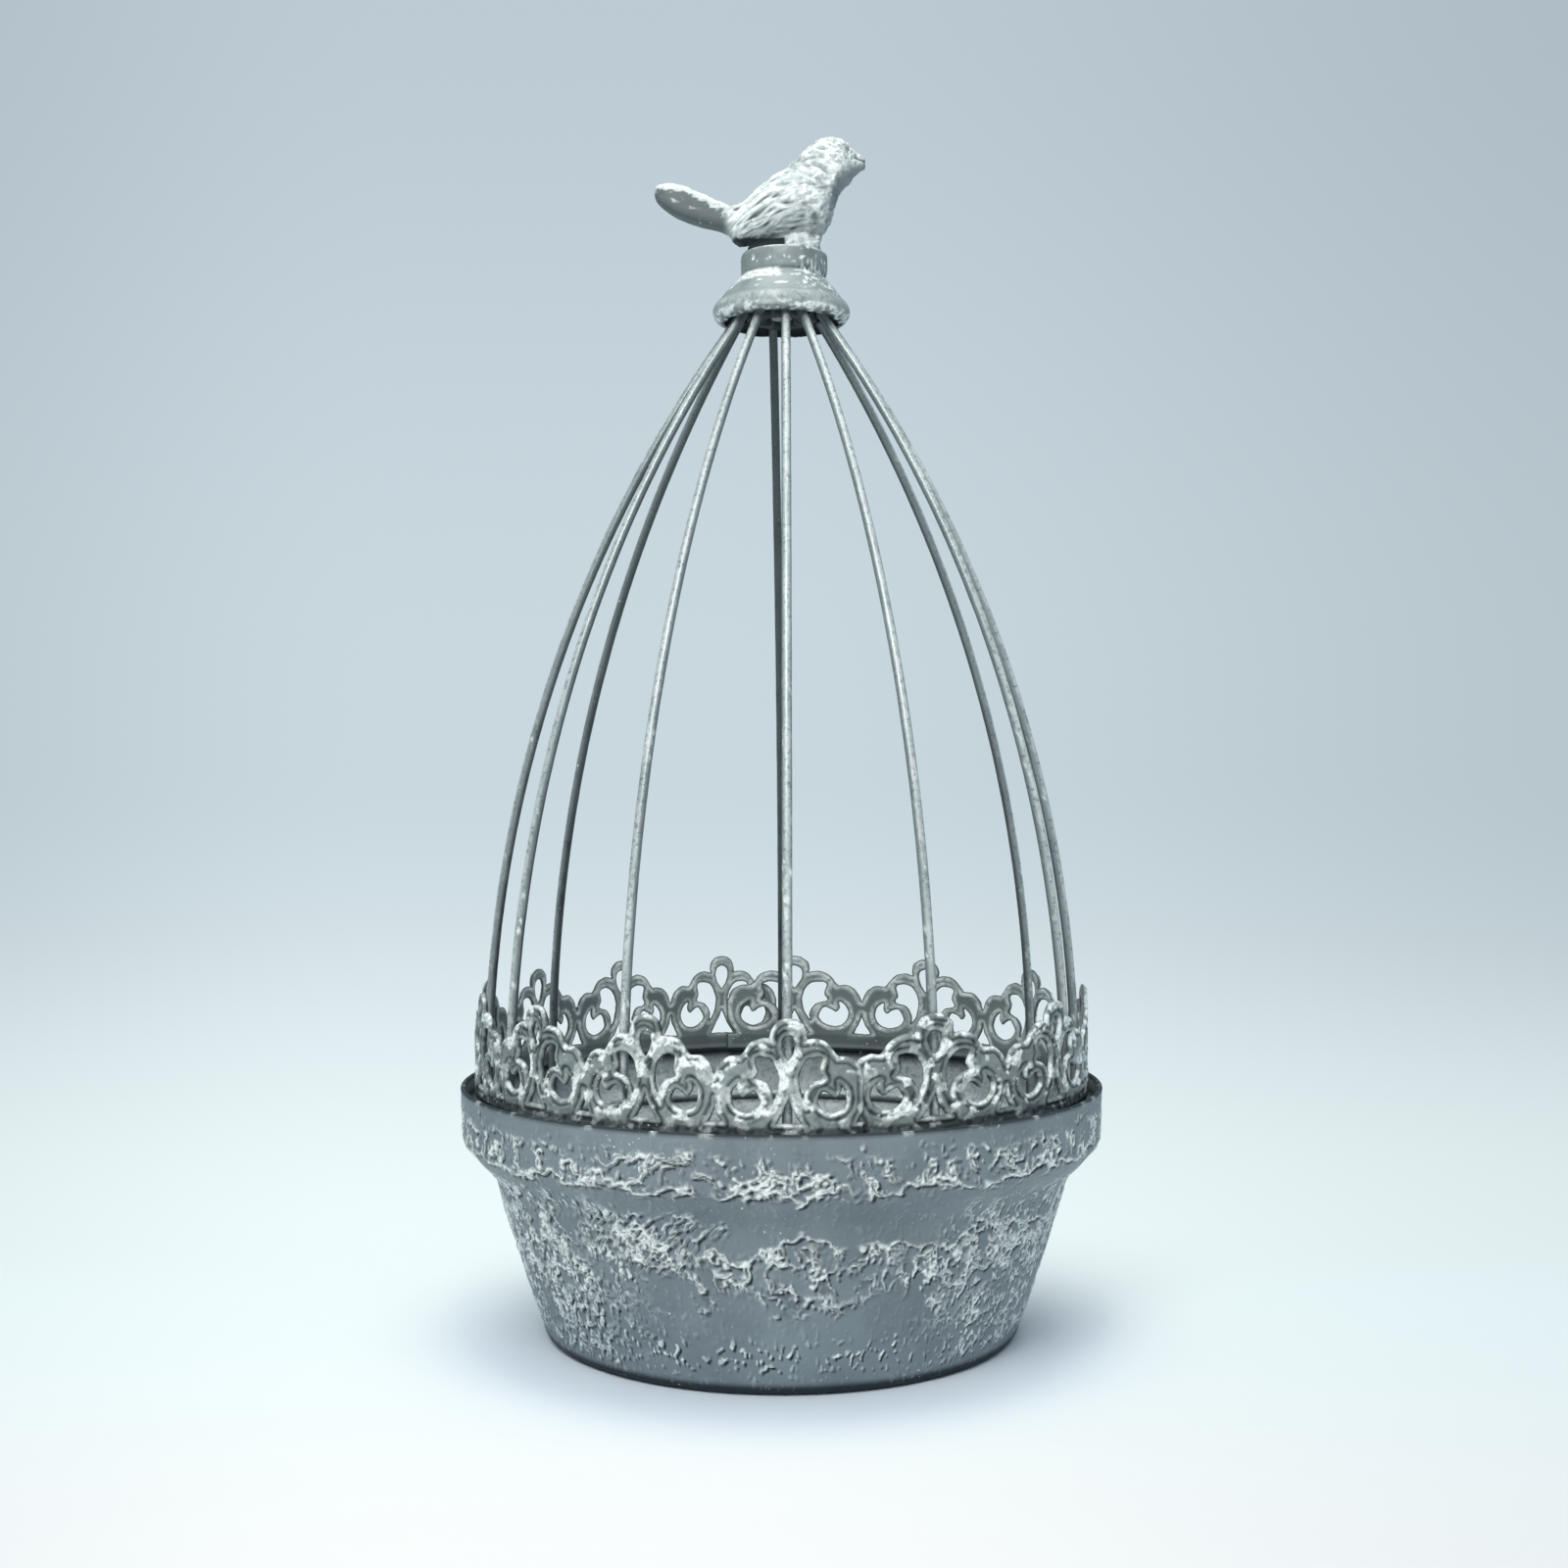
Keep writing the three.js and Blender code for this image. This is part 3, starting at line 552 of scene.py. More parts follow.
def through(points, closed=False):
    """A smooth line through its points."""
    points = np.asarray(points, float)
    if closed:
        padded = np.vstack([points[-1:], points, points[:2]])
    else:
        padded = np.vstack([2 * points[0] - points[1], points, 2 * points[-1] - points[-2]])
    pieces = []
    for a, b, c, d in zip(padded, padded[1:], padded[2:], padded[3:]):
        t = np.linspace(0, 1, CURVE_STEPS, endpoint=False)[:, None]
        curve = 2 * b + (c - a) * t + (2 * a - 5 * b + 4 * c - d) * t**2 + (3 * b - a - 3 * c + d) * t**3
        pieces.append(curve / 2)
    return np.vstack(pieces if closed else pieces + [points[-1:]])


def motif_loops():
    edges = [through(edge) if len(edge) > 2 else edge for edge in MOTIF_EDGES]
    return [np.vstack(edges), through(MOTIF_CRESCENT, True), through(MOTIF_EYE, True)]


def motif_distance(across, up):
    """How far points of half a repeat lie inside the lace's metal; negative in its gaps."""
    spots = np.stack([np.clip(across, 1e-3, MOTIF_WIDTH - 1e-3), up], 1)
    inside = np.zeros(len(spots), bool)
    nearest = np.full(len(spots), 1e9)
    for loop in motif_loops():
        for start, end in zip(loop, np.roll(loop, -1, 0)):
            rises = (start[1] > spots[:, 1]) != (end[1] > spots[:, 1])
            climb = end[1] - start[1] if end[1] != start[1] else 1e-9
            crossing = start[0] + (spots[:, 1] - start[1]) * (end[0] - start[0]) / climb
            inside ^= rises & (spots[:, 0] < crossing)
            on_fold = start[0] == end[0] and start[0] in (0, MOTIF_WIDTH)
            if on_fold:
                continue
            for way, shift in ((1, 0), (-1, 0), (-1, 2 * MOTIF_WIDTH)):
                a, b = (point * [way, 1] + [shift, 0] for point in (start, end))
                along = b - a
                share = clamp((spots - a) @ along / max(along @ along, 1e-12))
                nearest = np.minimum(nearest, np.linalg.norm(spots - a - share[:, None] * along, axis=1))
    return np.where(inside, nearest, -nearest)


def contour_cells(depth):
    """Faces of the part of a grid where depth is above nought, the points they use and their outer edges.
    A point is (row, column) with parts of a cell where the outline crosses a grid line."""
    spots, faces, rim, index = [], [], [], {}

    def spot_of(key, place):
        if key not in index:
            index[key] = len(spots)
            spots.append(place)
        return index[key]

    def corner(row, column):
        return spot_of((row, column, -1), (row, column))

    def crossing(first, second):
        (r0, c0), (r1, c1) = sorted((first, second))
        share = depth[r0, c0] / (depth[r0, c0] - depth[r1, c1])
        share = min(max(share, CROSSING_MARGIN), 1 - CROSSING_MARGIN)
        return spot_of((r0, c0, r1 - r0), (r0 + share * (r1 - r0), c0 + share * (c1 - c0)))

    solid = depth > 0
    for row, column in np.ndindex(solid.shape[0] - 1, solid.shape[1] - 1):
        ring = [(row, column), (row, column + 1), (row + 1, column + 1), (row + 1, column)]
        inside = [solid[spot] for spot in ring]
        if all(inside):
            faces.append(tuple(corner(*spot) for spot in ring))
        for first in range(4):
            if inside[first] and not inside[first - 1]:
                face = [crossing(ring[first - 1], ring[first])]
                last = first
                while inside[last % 4]:
                    face.append(corner(*ring[last % 4]))
                    last += 1
                face.append(crossing(ring[last % 4 - 1], ring[last % 4]))
                faces.append(tuple(face))
                rim.append((face[-1], face[0]))
    return np.array(spots), faces, rim


def lace_marks(skin, rise, inward, tilt, relief, seed):
    """Wash and grime of the lace, its front before its back: white along the upper edges of its bars as
    painted highlight and in smears of paint, painted shade under the bars, in their grooves and at the foot,
    and stains; on the back a painted highlight just inside each bar's edge with painted shade along it."""
    strip = drop(MOTIF_STRIP - 1.2, MOTIF_STRIP, rise)
    low_part = drop(MOTIF_STRIP - 0.5, MOTIF_STRIP + 4, rise)
    # Upper edges take white as painted highlight; the edges under the bars take painted shade
    top = step(-0.15, 0.45, tilt)
    splash = sum(np.exp(-(((skin - centre) / spread) ** 2).sum(1)) for centre, spread in SPLASHES)
    smear = noise(skin / 4.5, seed + 7) + 0.35 * noise(skin / 1.5, seed + 10) + 0.55 * splash
    smear = step(0.06, 0.34, smear) * (0.25 + 0.75 * top) * step(0.2, 0.7, relief)
    patchy = step(-0.3, 0.25, noise(skin / 3.2, seed + 6))
    wash_and_light = contour(inward, 0.45, 0.4) * (0.12 + 0.88 * top) * patchy + 0.85 * smear
    wash_and_light = clamp(1.9 * wash_and_light * (1 - 0.8 * low_part))
    stains = step(0, 0.5, noise(skin / 2.5, seed + 11))
    grime_and_shade = drop(0.1, 0.7, inward) * (1 - top) + 0.8 * contour(inward, 1.9, 0.5) + 0.3 * stains
    grime_and_shade = (grime_and_shade + 0.15 * low_part + 0.6 * strip) * (1 - wash_and_light)
    # Back: a painted highlight just inside each bar's edge, painted shade along the edge and at the foot
    streak = 0.25 + 0.5 * step(-0.35, 0.35, noise(skin / 5, seed + 8))
    back_wash_and_light = step(0.3, 0.7, inward) * drop(1.3, 2.2, inward) * streak * (1 - strip)
    back_grime_and_shade = 0.8 * drop(0.1, 0.5, inward) + 0.3 * step(1.4, 2.4, inward) + 0.25 * strip
    return np.r_[wash_and_light, back_wash_and_light], np.r_[grime_and_shade, back_grime_and_shade]


def lace_strip(name, repeats, pitch, first_peak, way, lapped, seed):
    """One length of lace, cast on the outside and flatter inside: repeats at a pitch in degrees, going one
    way round from the first peak."""
    halves = 2 * repeats
    across = int(round(LACE_MIDDLE * math.radians(pitch / 2) / LACE_CELL))
    cell = MOTIF_WIDTH / across
    rows = int(MOTIF_HEIGHT / cell) + 4
    up = (np.arange(rows) - LACE_MARGIN) * cell
    side = np.arange(across + 1) * cell
    half = motif_distance(np.tile(side, rows), np.repeat(up, across + 1)).reshape(rows, across + 1)
    columns = np.arange(-1, halves * across + 2)
    fold = np.mod(columns, 2 * across)
    depth = half[:, np.where(fold <= across, across - fold, fold - across)]
    end = np.minimum(columns, halves * across - columns) * cell
    depth = np.minimum(depth, end - LACE_END)

    def place(spots, radius):
        edge = (spots[:, 1] - 1) / across
        turn = np.radians(first_peak + way * (edge - 1) * pitch / 2)
        if lapped:
            away = np.minimum(edge, halves - edge)
            radius = radius + LACE_LAP_STEP * drop(1, 1.9, away)
        height = LACE_FOOT + (spots[:, 0] - LACE_MARGIN) * cell * LACE_HEIGHT / MOTIF_HEIGHT
        return round_points(radius, math.pi / 2 - turn, np.maximum(height, LACE_FOOT + LACE_END))

    flat = place(np.array([*np.ndindex(depth.shape)], float), LACE_MIDDLE)
    uneven = (0.2 * noise(flat / 3.1, seed) + 0.1 * noise(flat / 1.4, seed + 1)).reshape(depth.shape)
    depth = depth + uneven * (depth > -1.2)
    grow = 0.02 + 0.68 * step(-0.2, 0.75, -flat[:, 1] / LACE_MIDDLE).reshape(depth.shape)
    depth = np.minimum(depth + grow, (end - LACE_END)[None, :])
    depth = np.minimum(depth, (up + LACE_END)[:, None])
    spots, faces, rim = contour_cells(depth)
    low = tuple(np.floor(spots.T + 1e-9).astype(int))
    high = tuple(np.ceil(spots.T - 1e-9).astype(int))
    share = np.abs(spots.T - low).max(0)
    inward = np.maximum((1 - share) * depth[low] + share * depth[high], 0)
    skin = place(spots, LACE_MIDDLE)
    climb, aside = np.gradient(depth, cell)
    tilt = -(0.85 * climb + 0.5 * way * aside)[low]
    bead = np.sqrt(clamp(1 - (1 - np.minimum(inward / 1.3, 1)) ** 2))
    bead += 0.28 * contour(inward, 2.9, 0.5) - 0.34 * contour(inward, 1.9, 0.45)
    rough = 0.2 * noise(skin / 2.2, seed + 3) + 0.14 * noise(skin / 1.1, seed + 4)
    relief = np.clip(0.12 + (0.88 * bead + rough) * step(0, 0.5, inward), 0, 1.2)
    front = place(spots, LACE_RADIUS + LACE_TOP_RELIEF * relief)
    back = place(spots, LACE_BACK + 0.3 * drop(0, 0.7, inward) - 0.12 * step(0.4, 1, inward))
    count = len(spots)
    skins = [f[::-1] for f in faces] + [tuple(i + count for i in f) for f in faces]
    skins += [(a, b, b + count, a + count) for a, b in rim]
    if way < 0:
        skins = [f[::-1] for f in skins]

    rise = (spots[:, 0] - LACE_MARGIN) * cell
    marks = lace_marks(skin, rise, inward, tilt, relief, seed)
    build(name + "_cast", name, np.vstack([front, back]), skins, LACE_PAINT, marks)


def make_lace():
    lace_strip("lace_strip_right", repeats=6, pitch=30.2, first_peak=2.8, way=1, lapped=False, seed=200)
    lace_strip("lace_strip_left", repeats=8, pitch=24, first_peak=-13.2, way=-1, lapped=True, seed=240)


# Crown: hub, bell cap and screwed finial

BORE_RADIUS, STUD_RADIUS, WASHER_RADIUS, NUT_FLAT = 2.3, 2.0, 4.5, 3.5
LIP_ROUND, NECK_RADIUS, COLLAR_RADIUS, COLLAR_HEIGHT, COLLAR_SHIFT = 4.0, 14.8, 15.1, 7.6, 0.9
CAP_SEGMENTS, HUB_SEGMENTS, WASHER_SEGMENTS, CAP_SPACING, TOP_PLATE = 240, 96, 64, 0.42, 6.0


def lathe(name, node, profile, segments, material, push=None, marks=None):
    """A turned piece about Z from a closed profile; push moves its points, marks gives wash and grime, with
    their painted light and shade.
    """
    points = turned(profile, segments)
    if push:
        points = push(points)
    faces = grid_faces(len(profile), segments, closed_rows=True)
    build(name, node, points, faces, material, marks(points) if marks else ())


def make_cap():
    low, high = node_box("bell_cap")
    bottom, top = low[2], high[2]
    mouth, seat = high[1] - LIP_ROUND, node_box("crown_hub")[1][2] + WELD_GAP
    neck = top - COLLAR_HEIGHT
    lip = arc((mouth, bottom + LIP_ROUND), LIP_ROUND, -90, 60, 26)
    handle = (NECK_RADIUS + 3.6, bottom + LIP_ROUND + 8.6)
    flare = bezier(lip[-1], handle, (NECK_RADIUS, neck - 0.8), 26)
    collar = [(NECK_RADIUS + 0.1, neck), (COLLAR_RADIUS, neck + 0.9), (COLLAR_RADIUS + 0.1, top - 2),
              (COLLAR_RADIUS, top - 0.9), (COLLAR_RADIUS - 0.3, top - 0.3), (COLLAR_RADIUS - 0.9, top)]
    outside = even(np.vstack([lip, flare[1:], collar, [(TOP_PLATE, top)]]), CAP_SPACING)
    inside = [(BORE_RADIUS, top), (BORE_RADIUS, seat), (HUB_RADIUS + 1.5, seat), (mouth, bottom + 3),
              (mouth, bottom + 0.4)]
    profile = np.vstack([outside, inside])
    outer = np.repeat(np.arange(len(profile)), CAP_SEGMENTS) < len(outside)

    def push(points):
        away = points / np.maximum(np.hypot(points[:, 0], points[:, 1]), 1e-6)[:, None] * [1, 1, 0]
        swell = 0.16 * noise(points / 5, 300) + 0.08 * noise(points / 1.8, 301) - 0.15
        dents = step(0.2, 0.55, noise(points / 2.4, 304)) * drop(bottom + 4, bottom + 7.5, points[:, 2])
        points = points + away * ((swell - 0.35 * dents) * outer)[:, None]
        drip = drop(bottom, bottom + 2.2, points[:, 2])
        points[:, 2] += drip * clamp(0.35 + 0.45 * noise(points / 4.2 * [1, 1, 0], 302))
        points[:, 0] += outer * COLLAR_SHIFT * step(neck - 3, neck + 2, points[:, 2])
        points[:, 2] = np.minimum(points[:, 2], top)
        return points

    def marks(points):
        x, y, z = points.T
        up = z - bottom
        over = z - neck
        dashes = step(0.5, 1, up) * drop(2.6, 3.4, up)
        dashes *= step(0.02, 0.12, noise(points / [2.8, 2.8, 1.8], 310))
        low_spots = step(0.32, 0.5, noise(points / 2.4, 319)) * drop(2.5, 4, up)
        dashes = np.maximum(dashes, 0.8 * low_spots)
        left = step(-1, 2, -x) * step(0, 3, -y) * step(-4.6, -3.6, over)
        stroke = np.maximum(left * step(-0.55, -0.1, noise(points / [7, 7, 1.6], 311)),
                            step(0.32, 0.55, noise(points / [6, 6, 1.4], 312)))
        stroke *= step(8, 10, up) * drop(-1, 0.3, over)
        hatch = step(0.1, 0.4, noise(points / [1.1, 1.1, 5], 317)) * step(4, 9, x)
        hatch *= step(6, 9, up) * drop(1, 4, over)
        spots = step(0.38, 0.5, noise(points / 2.2, 313)) * step(1, 2, over)
        rim = step(top - 0.9, top - 0.3, z) * step(-0.3, 0.4, noise(points / 4, 314))
        on_lip = step(0.8, 2.2, up) * drop(5.5, 7.6, up)
        rub = on_lip * (0.2 + 0.2 * step(-0.2, 0.4, noise(points / 3, 318)))
        wash_and_light = clamp(dashes + stroke + hatch + spots + rub + 0.8 * rim)
        # Painted shade along the lip's lowest edge, in the crease under the collar and over the whole inside;
        # the collar a little darker, and stains
        low_edge = drop(0.2, 1.2 + 0.8 * noise(points / 3, 316), up)
        stains = step(0.2, 0.6, noise(points / 6, 315))
        grime_and_shade = low_edge + 0.6 * contour(over, -0.2, 0.5) + 0.14 * step(-0.5, 0.5, over) + 0.25 * stains
        return np.where(outer, wash_and_light, 0), np.where(outer, clamp(grime_and_shade) * (1 - wash_and_light), 1)

    lathe("bell_cap_cast", "bell_cap", profile, CAP_SEGMENTS, CAP_PAINT, push, marks)


def make_hub():
    low, high = node_box("crown_hub")
    pocket, ceiling = 6, node_box("finial_washer")[1][2] + WELD_GAP
    wall = even([(HUB_RADIUS - 0.8, low[2]), (HUB_RADIUS, low[2] + 0.8), (HUB_RADIUS, high[2])], 0.5)
    bore = [(BORE_RADIUS, high[2]), (BORE_RADIUS, ceiling), (pocket, ceiling)]

    # Grime over the whole hub as painted shade, with a few white flecks
    def marks(points):
        return 0.1 * step(0.2, 0.6, noise(points / 2, 320)), 0.9 + 0.1 * noise(points / 4, 321)

    hub = np.vstack([[(pocket, low[2])], wall, bore])
    lathe("crown_hub_turned", "crown_hub", hub, HUB_SEGMENTS, HUB_SHADE_PAINT, marks=marks)


def make_finial():
    low, high = node_box("finial_stud")
    pitch, depth, ring = 0.7, 0.3, 40
    rows = int((high[2] - low[2]) / pitch * 8)
    z = np.linspace(low[2], high[2], rows)[:, None]
    angle = angles(ring)
    groove = np.abs(2 * np.mod(z / pitch - angle / (2 * math.pi), 1) - 1)
    ends = np.minimum(step(low[2], low[2] + 0.6, z), drop(high[2] - 0.6, high[2], z))
    points = round_points(STUD_RADIUS - depth * (1 - groove) - 0.35 * (1 - ends), angle, z)
    build("finial_stud_thread", "finial_stud", points, capped(rows, ring), ZINC)

    low, high = node_box("finial_washer")
    edge = 0.12
    washer = [(BORE_RADIUS, low[2] + edge), (BORE_RADIUS + edge, low[2]),
              (WASHER_RADIUS - edge, low[2]), (WASHER_RADIUS, low[2] + edge),
              (WASHER_RADIUS, high[2] - edge), (WASHER_RADIUS - edge, high[2]),
              (BORE_RADIUS + edge, high[2]), (BORE_RADIUS, high[2] - edge)]
    lathe("finial_washer_punched", "finial_washer", washer, WASHER_SEGMENTS, ZINC)

    low, high = node_box("finial_nut")
    ring = 72
    angle = angles(ring)
    flat = NUT_FLAT / np.cos(np.mod(angle, math.pi / 3) - math.pi / 6)
    heights = [low[2], low[2], low[2] + 0.45, high[2] - 0.45, high[2], high[2], high[2] - 0.3, low[2] + 0.3]
    limits = [3, 3.55, 9, 9, 3.55, 3, BORE_RADIUS, BORE_RADIUS]
    rings = [round_points(np.minimum(flat, limit), angle + math.pi / 6, height)
             for height, limit in zip(heights, limits)]
    faces = grid_faces(len(rings), ring, closed_rows=True)
    build("finial_nut_cut", "finial_nut", np.vstack(rings), faces, ZINC)


# Cast bird: upright stations from tail tip to beak tip, from the middle of the cap's top:
# along, top, bottom, half width and how square the section is

BIRD_STATIONS = np.array([
    (-44.1, 21.9, 20.3, 0.9, 0.8), (-43.7, 22.9, 18.9, 2, 0.7), (-42.6, 23.7, 17.5, 3, 0.62),
    (-39.6, 24.2, 15, 4, 0.6), (-35.4, 23.6, 12.6, 4.5, 0.58), (-29, 21.2, 10.2, 4.6, 0.58),
    (-22.6, 18.4, 8.6, 4.5, 0.65), (-18.4, 17, 6.9, 5.2, 0.8), (-16.6, 16.8, 4.6, 5.9, 0.9),
    (-14.6, 17.2, 3, 6.6, 1), (-12, 18.8, 3.6, 7.6, 1), (-8, 22.9, 4.4, 8.9, 1),
    (-3.6, 26.3, 4.7, 10.3, 1), (3.2, 30.8, 5, 11.2, 1), (8.3, 36, 5.4, 11, 1),
    (12.4, 39.4, 5.9, 10, 1), (15, 40.4, 7.6, 9.3, 1), (17, 40.7, 11.4, 8.6, 1),
    (18.6, 40.5, 16.8, 7.9, 1), (20.4, 39.9, 21.4, 7.2, 1), (23.2, 38.3, 24.6, 5.6, 0.95),
    (25.2, 36, 27, 4.2, 0.9), (26.4, 35, 28.1, 3.4, 0.85), (27.8, 34.2, 29.3, 2.6, 0.75),
    (28.6, 33.5, 29.4, 2, 0.75), (29.05, 32.7, 29.9, 1.2, 0.9)])
BIRD_SIDES, BIRD_SECTIONS, BIRD_GRAIN = 96, 300, 0.36
DRILL_SIDES, DRILL_DEPTH, PLAIN_RADIUS, PLAIN_HEIGHT = 40, 10.3, 3.2, 12.0
PERCH_BACK, PERCH_FRONT, PERCH_WIDE, PERCH_TALL, PERCH_SIDES = -11.5, 13.6, 5.4, 14.5, 72
# Side views of the wing's root and tip, the eye and the middle of the beak, above the feathers' lowest line
FEATHER_FOOT, WING_ROOT, WING_TIP = 2.6, np.array([17.0, 20.0]), np.array([-19.0, 11.0])
EYE_X, EYE_HEIGHT, MOUTH_HEIGHT = 22.2, 33.0, 29.0


def steady(x, stations):
    """Values between stations without overshoot, from monotone cubics."""
    place, value = stations[:, 0], stations[:, 1:]
    gap = np.diff(place)[:, None]
    slope = np.diff(value, axis=0) / gap
    same = slope[:-1] * slope[1:] > 0
    both = np.where(same, 2 * slope[:-1] * slope[1:] / np.where(same, slope[:-1] + slope[1:], 1), 0)
    tangent = np.vstack([slope[:1], both, slope[-1:]])
    i = np.clip(np.searchsorted(place, x, side="right") - 1, 0, len(place) - 2)
    h = gap[i]
    t = ((x - place[i])[:, None]) / h
    return ((1 + 2 * t) * (1 - t) ** 2 * value[i] + t * (1 - t) ** 2 * h * tangent[i]
            + t**2 * (3 - 2 * t) * value[i + 1] + t**2 * (t - 1) * h * tangent[i + 1])


def squared(wave, power):
    """A wave with its crests made broader by a power under 1."""
    return np.sign(wave) * np.abs(wave) ** power


def bird_shell(seat):
    x = even(np.stack([BIRD_STATIONS[:, 0], BIRD_STATIONS[:, 3] * 2], 1), 0.1)[:, 0]
    x = np.interp(np.linspace(0, 1, BIRD_SECTIONS), np.linspace(0, 1, len(x)), x)
    top, bottom, wide, square = (part[:, None] for part in steady(x, BIRD_STATIONS).T)
    angle = angles(BIRD_SIDES)
    y = squared(np.cos(angle), square) * (1 - 0.2 * np.sin(angle)) * wide
    z = (top + bottom) / 2 + squared(np.sin(angle), square) * ((top - bottom) / 2) + seat
    points = np.stack([np.repeat(x[:, None], BIRD_SIDES, 1), y, z], 2).reshape(-1, 3)
    return points, capped(BIRD_SECTIONS, BIRD_SIDES)


def perch_shell(seat):
    """The block of leg feathers under the breast, drawn in round the stud at the back."""
    heights = np.linspace(0, PERCH_TALL, 16)
    angle = angles(PERCH_SIDES)
    centre, reach = (PERCH_BACK + PERCH_FRONT) / 2, (PERCH_FRONT - PERCH_BACK) / 2
    x = centre + reach * squared(np.cos(angle), 0.75)
    y = squared(np.sin(angle), 0.75) * (PERCH_WIDE - 2.2 * drop(0, 2.5, x))
    points = np.vstack([np.stack([x, y, 0 * x + seat + h], 1) for h in heights])
    return points, capped(len(heights), PERCH_SIDES)


def cast_together(body, perch, drill):
    """One even skin round two closed shells, with a hole drilled in it: points, normals and faces."""
    meshes = [new_mesh("shell", points * MM, faces) for points, faces in (body, perch, drill)]
    whole, *others = [new_object("shell", mesh) for mesh in meshes]
    for operation, other in zip(("UNION", "DIFFERENCE"), others):
        change = whole.modifiers.new(operation, "BOOLEAN")
        change.operation, change.object, change.solver = operation, other, "EXACT"
    skin = whole.modifiers.new("skin", "REMESH")
    skin.mode, skin.voxel_size = "VOXEL", BIRD_GRAIN * MM
    soften = whole.modifiers.new("soften", "SMOOTH")
    soften.factor, soften.iterations = 0.5, 5
    solid = whole.evaluated_get(bpy.context.evaluated_depsgraph_get())
    mesh = solid.to_mesh()
    points, normals = np.empty((2, 3 * len(mesh.vertices)))
    mesh.vertices.foreach_get("co", points)
    mesh.vertices.foreach_get("normal", normals)
    faces = [tuple(p.vertices) for p in mesh.polygons]
    solid.to_mesh_clear()
    for old in meshes:
        bpy.data.meshes.remove(old)
    return points.reshape(-1, 3) / MM, normals.reshape(-1, 3), faces


